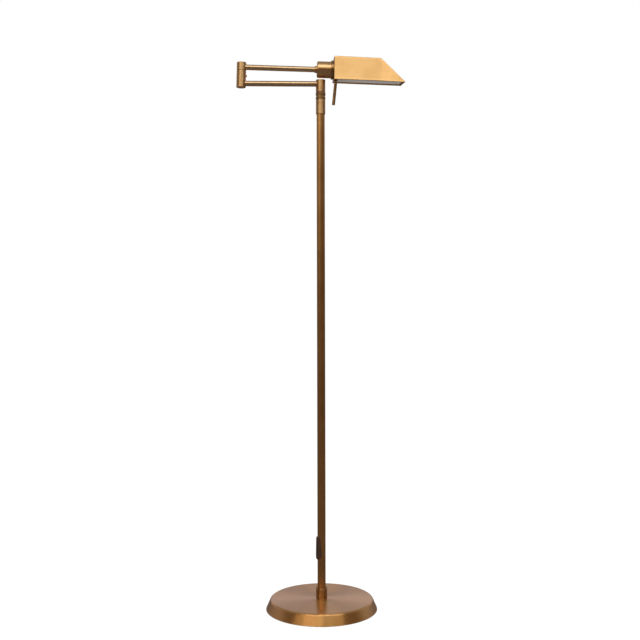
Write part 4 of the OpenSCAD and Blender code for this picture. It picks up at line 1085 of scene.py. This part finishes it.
def screw_head(radius, top, under, slot_half, depth, place, edge=0.35):
    """A round head with a broken edge and a screwdriver slot right across it."""
    def head_half(v):
        return np.sqrt(np.clip(radius ** 2 - v ** 2, 0, None))

    def head_height(u, v):
        k = np.clip((radius - np.hypot(u, v)) / edge, 0, 1)
        return top - edge * (1 - np.sqrt(1 - (1 - k) ** 2))

    rows = radius * np.sin(np.linspace(-math.pi / 2, math.pi / 2, 25))
    return slotted_plate(rows, head_half, head_height, lambda u: 0 * u + under, slot_half,
                         (-radius - 1, radius + 1), depth, place, columns=9)


def measured(screw, place, up):
    """A screw's radius, its head's height, and a frame at the middle of its head."""
    low, high = screw[:, 2].min(), screw[:, 2].max()
    middle_of_head = lay(np.array([[0, 0, (low + high) / 2]]), place)[0]
    return (high - low) / 2, screw[:, 0].max(), frame_of(middle_of_head, up, place[:3, 0])


dimmer_screws = node_points("dimmer_screws", DIMMER)
upper = dimmer_screws[:, 2] > DROP_SPAN / 2
heads = []
for screw in (dimmer_screws[~upper], dimmer_screws[upper]):
    head_r, head_top, seat = measured(screw, DIMMER, (0, 0, 1))
    heads.append(screw_head(head_r, head_top, head_top - 1.2, 0.3, 0.45, seat))
finish(make("dimmer_screw_heads", heads, "stand", ["dimmer_screws"]), ZINC)

SCREW_TURN = math.radians(25)
screw_up = math.cos(SCREW_TURN) * ELBOW[:3, 2] + math.sin(SCREW_TURN) * ELBOW[:3, 1]
head_r, head_top, seat = measured(node_points("elbow_screw", ELBOW), ELBOW, screw_up)
elbow_head = screw_head(head_r, head_top, span("elbow_barrel", ELBOW)[0] - 1, 0.4, 0.8, seat, edge=0.6)
brass_piece("slotted_elbow_screw", elbow_head, "lower_arm", "elbow_screw")

# %% [markdown]
# ## Floor and light
# Metal shows its surroundings more than itself, so the light is arranged by what each piece mirrors. A
# wide soft panel high in front lights the shade and draws the pale line along the arms. A warmer one,
# far off in front to the left, lies on the base's leaning side. A pale band in the room behind lies on
# the base's top, and the dim room in front leaves the pole brown. A few small lamps would be simpler,
# but each would leave a hard glint in the lacquer. The floor is pale and plain.

# %% Floor
FLOOR_HALF = 9.0
FLOOR_NEAR, FLOOR_FAR = 0.35, 1.5
SMOOTH = {"interpolation_type": "SMOOTHSTEP"}
WHITE = (1, 1, 1, 1)


def floor_finish():
    """Matt white paper that is lit evenly, away from the lamp's own soft shadow."""
    material, tree, out = new_material("paper_floor")
    place = add(tree, "ShaderNodeTexCoord").outputs["Object"]
    far = add(tree, "ShaderNodeVectorMath", {"operation": "LENGTH"}, _0=place).outputs["Value"]
    away = add(tree, "ShaderNodeMapRange", SMOOTH, _0=far, _1=FLOOR_NEAR, _2=FLOOR_FAR)
    paper = add(tree, "ShaderNodeBsdfDiffuse", Color=(0.86, 0.86, 0.86, 1))
    lit = add(tree, "ShaderNodeEmission", Color=WHITE, Strength=0.66)
    even = add(tree, "ShaderNodeEmission", Color=WHITE, Strength=1.0)
    near = add(tree, "ShaderNodeAddShader", _0=paper.outputs[0], _1=lit.outputs[0])
    both = add(tree, "ShaderNodeMixShader", _0=away.outputs[0], _1=near.outputs[0], _2=even.outputs[0])
    tree.links.new(both.outputs[0], out.inputs[0])
    return material


floor_mesh = bpy.data.meshes.new("floor")
corners = [(x * FLOOR_HALF, y * FLOOR_HALF, 0) for x, y in ((-1, -1), (1, -1), (1, 1), (-1, 1))]
floor_mesh.from_pydata(corners, [], [(0, 1, 2, 3)])
floor_mesh.materials.append(floor_finish())
floor = bpy.data.objects.new("floor", floor_mesh)
bpy.context.scene.collection.objects.link(floor)
floor.visible_glossy = False


# %% Room and panels
def room_light():
    """Light of the room by direction: dim and warm in front, a pale band low behind, grey above. The
    camera itself sees plain white."""
    world = bpy.data.worlds.new("room")
    bpy.context.scene.world = world
    world.use_nodes = True
    tree = world.node_tree
    tree.nodes.clear()
    way = add(tree, "ShaderNodeTexCoord").outputs["Generated"]
    split = add(tree, "ShaderNodeSeparateXYZ", Vector=way)
    height = sum_of(tree, split.outputs["Z"], 0.5, 0.5)
    front = ramp(tree, height, [
        (0.30, (0.17, 0.15, 0.145)), (0.46, (0.12, 0.083, 0.056)), (0.66, (0.12, 0.082, 0.055)),
        (0.76, (0.20, 0.17, 0.15)), (1.0, (0.42, 0.40, 0.38))])
    back = ramp(tree, height, [
        (0.30, (0.15, 0.13, 0.125)), (0.50, (0.13, 0.11, 0.10)), (0.59, (0.34, 0.33, 0.35)),
        (0.66, (0.64, 0.605, 0.69)), (0.74, (0.31, 0.30, 0.32)), (1.0, (0.36, 0.34, 0.33))])
    behind = add(tree, "ShaderNodeMapRange", SMOOTH, _0=split.outputs["Y"], _1=-0.25, _2=0.35)
    tone = mix(tree, behind.outputs[0], front, back)
    seen = add(tree, "ShaderNodeLightPath").outputs["Is Camera Ray"]
    around = add(tree, "ShaderNodeBackground", Color=mix(tree, seen, tone, WHITE), Strength=1.0)
    out = tree.nodes.new("ShaderNodeOutputWorld")
    tree.links.new(around.outputs[0], out.inputs[0])


def panel(name, place, target, size, brightness, colour=(1, 1, 1)):
    """A soft rectangular panel that faces a point; its power follows from how bright it should look."""
    data = bpy.data.lights.new(name, "AREA")
    data.shape = "RECTANGLE"
    data.size, data.size_y = size
    data.energy = brightness * math.pi * size[0] * size[1]
    data.color = colour
    light = bpy.data.objects.new(name, data)
    bpy.context.scene.collection.objects.link(light)
    back = np.array(place, float) - np.array(target, float)
    light.matrix_world = Matrix(frame_of(place, back, (1, 0, 0)).tolist())
    light.visible_camera = False
    return light


room_light()
panel("front_panel", (0.1, -1.78, 2.86), (0, 0, 1.25), (4.4, 1.45), 1.9)
panel("low_panel", (-3.7, -6.0, 3.25), (0, 0, 0.05), (8.4, 1.25), 1.75, (1.0, 0.84, 0.60))
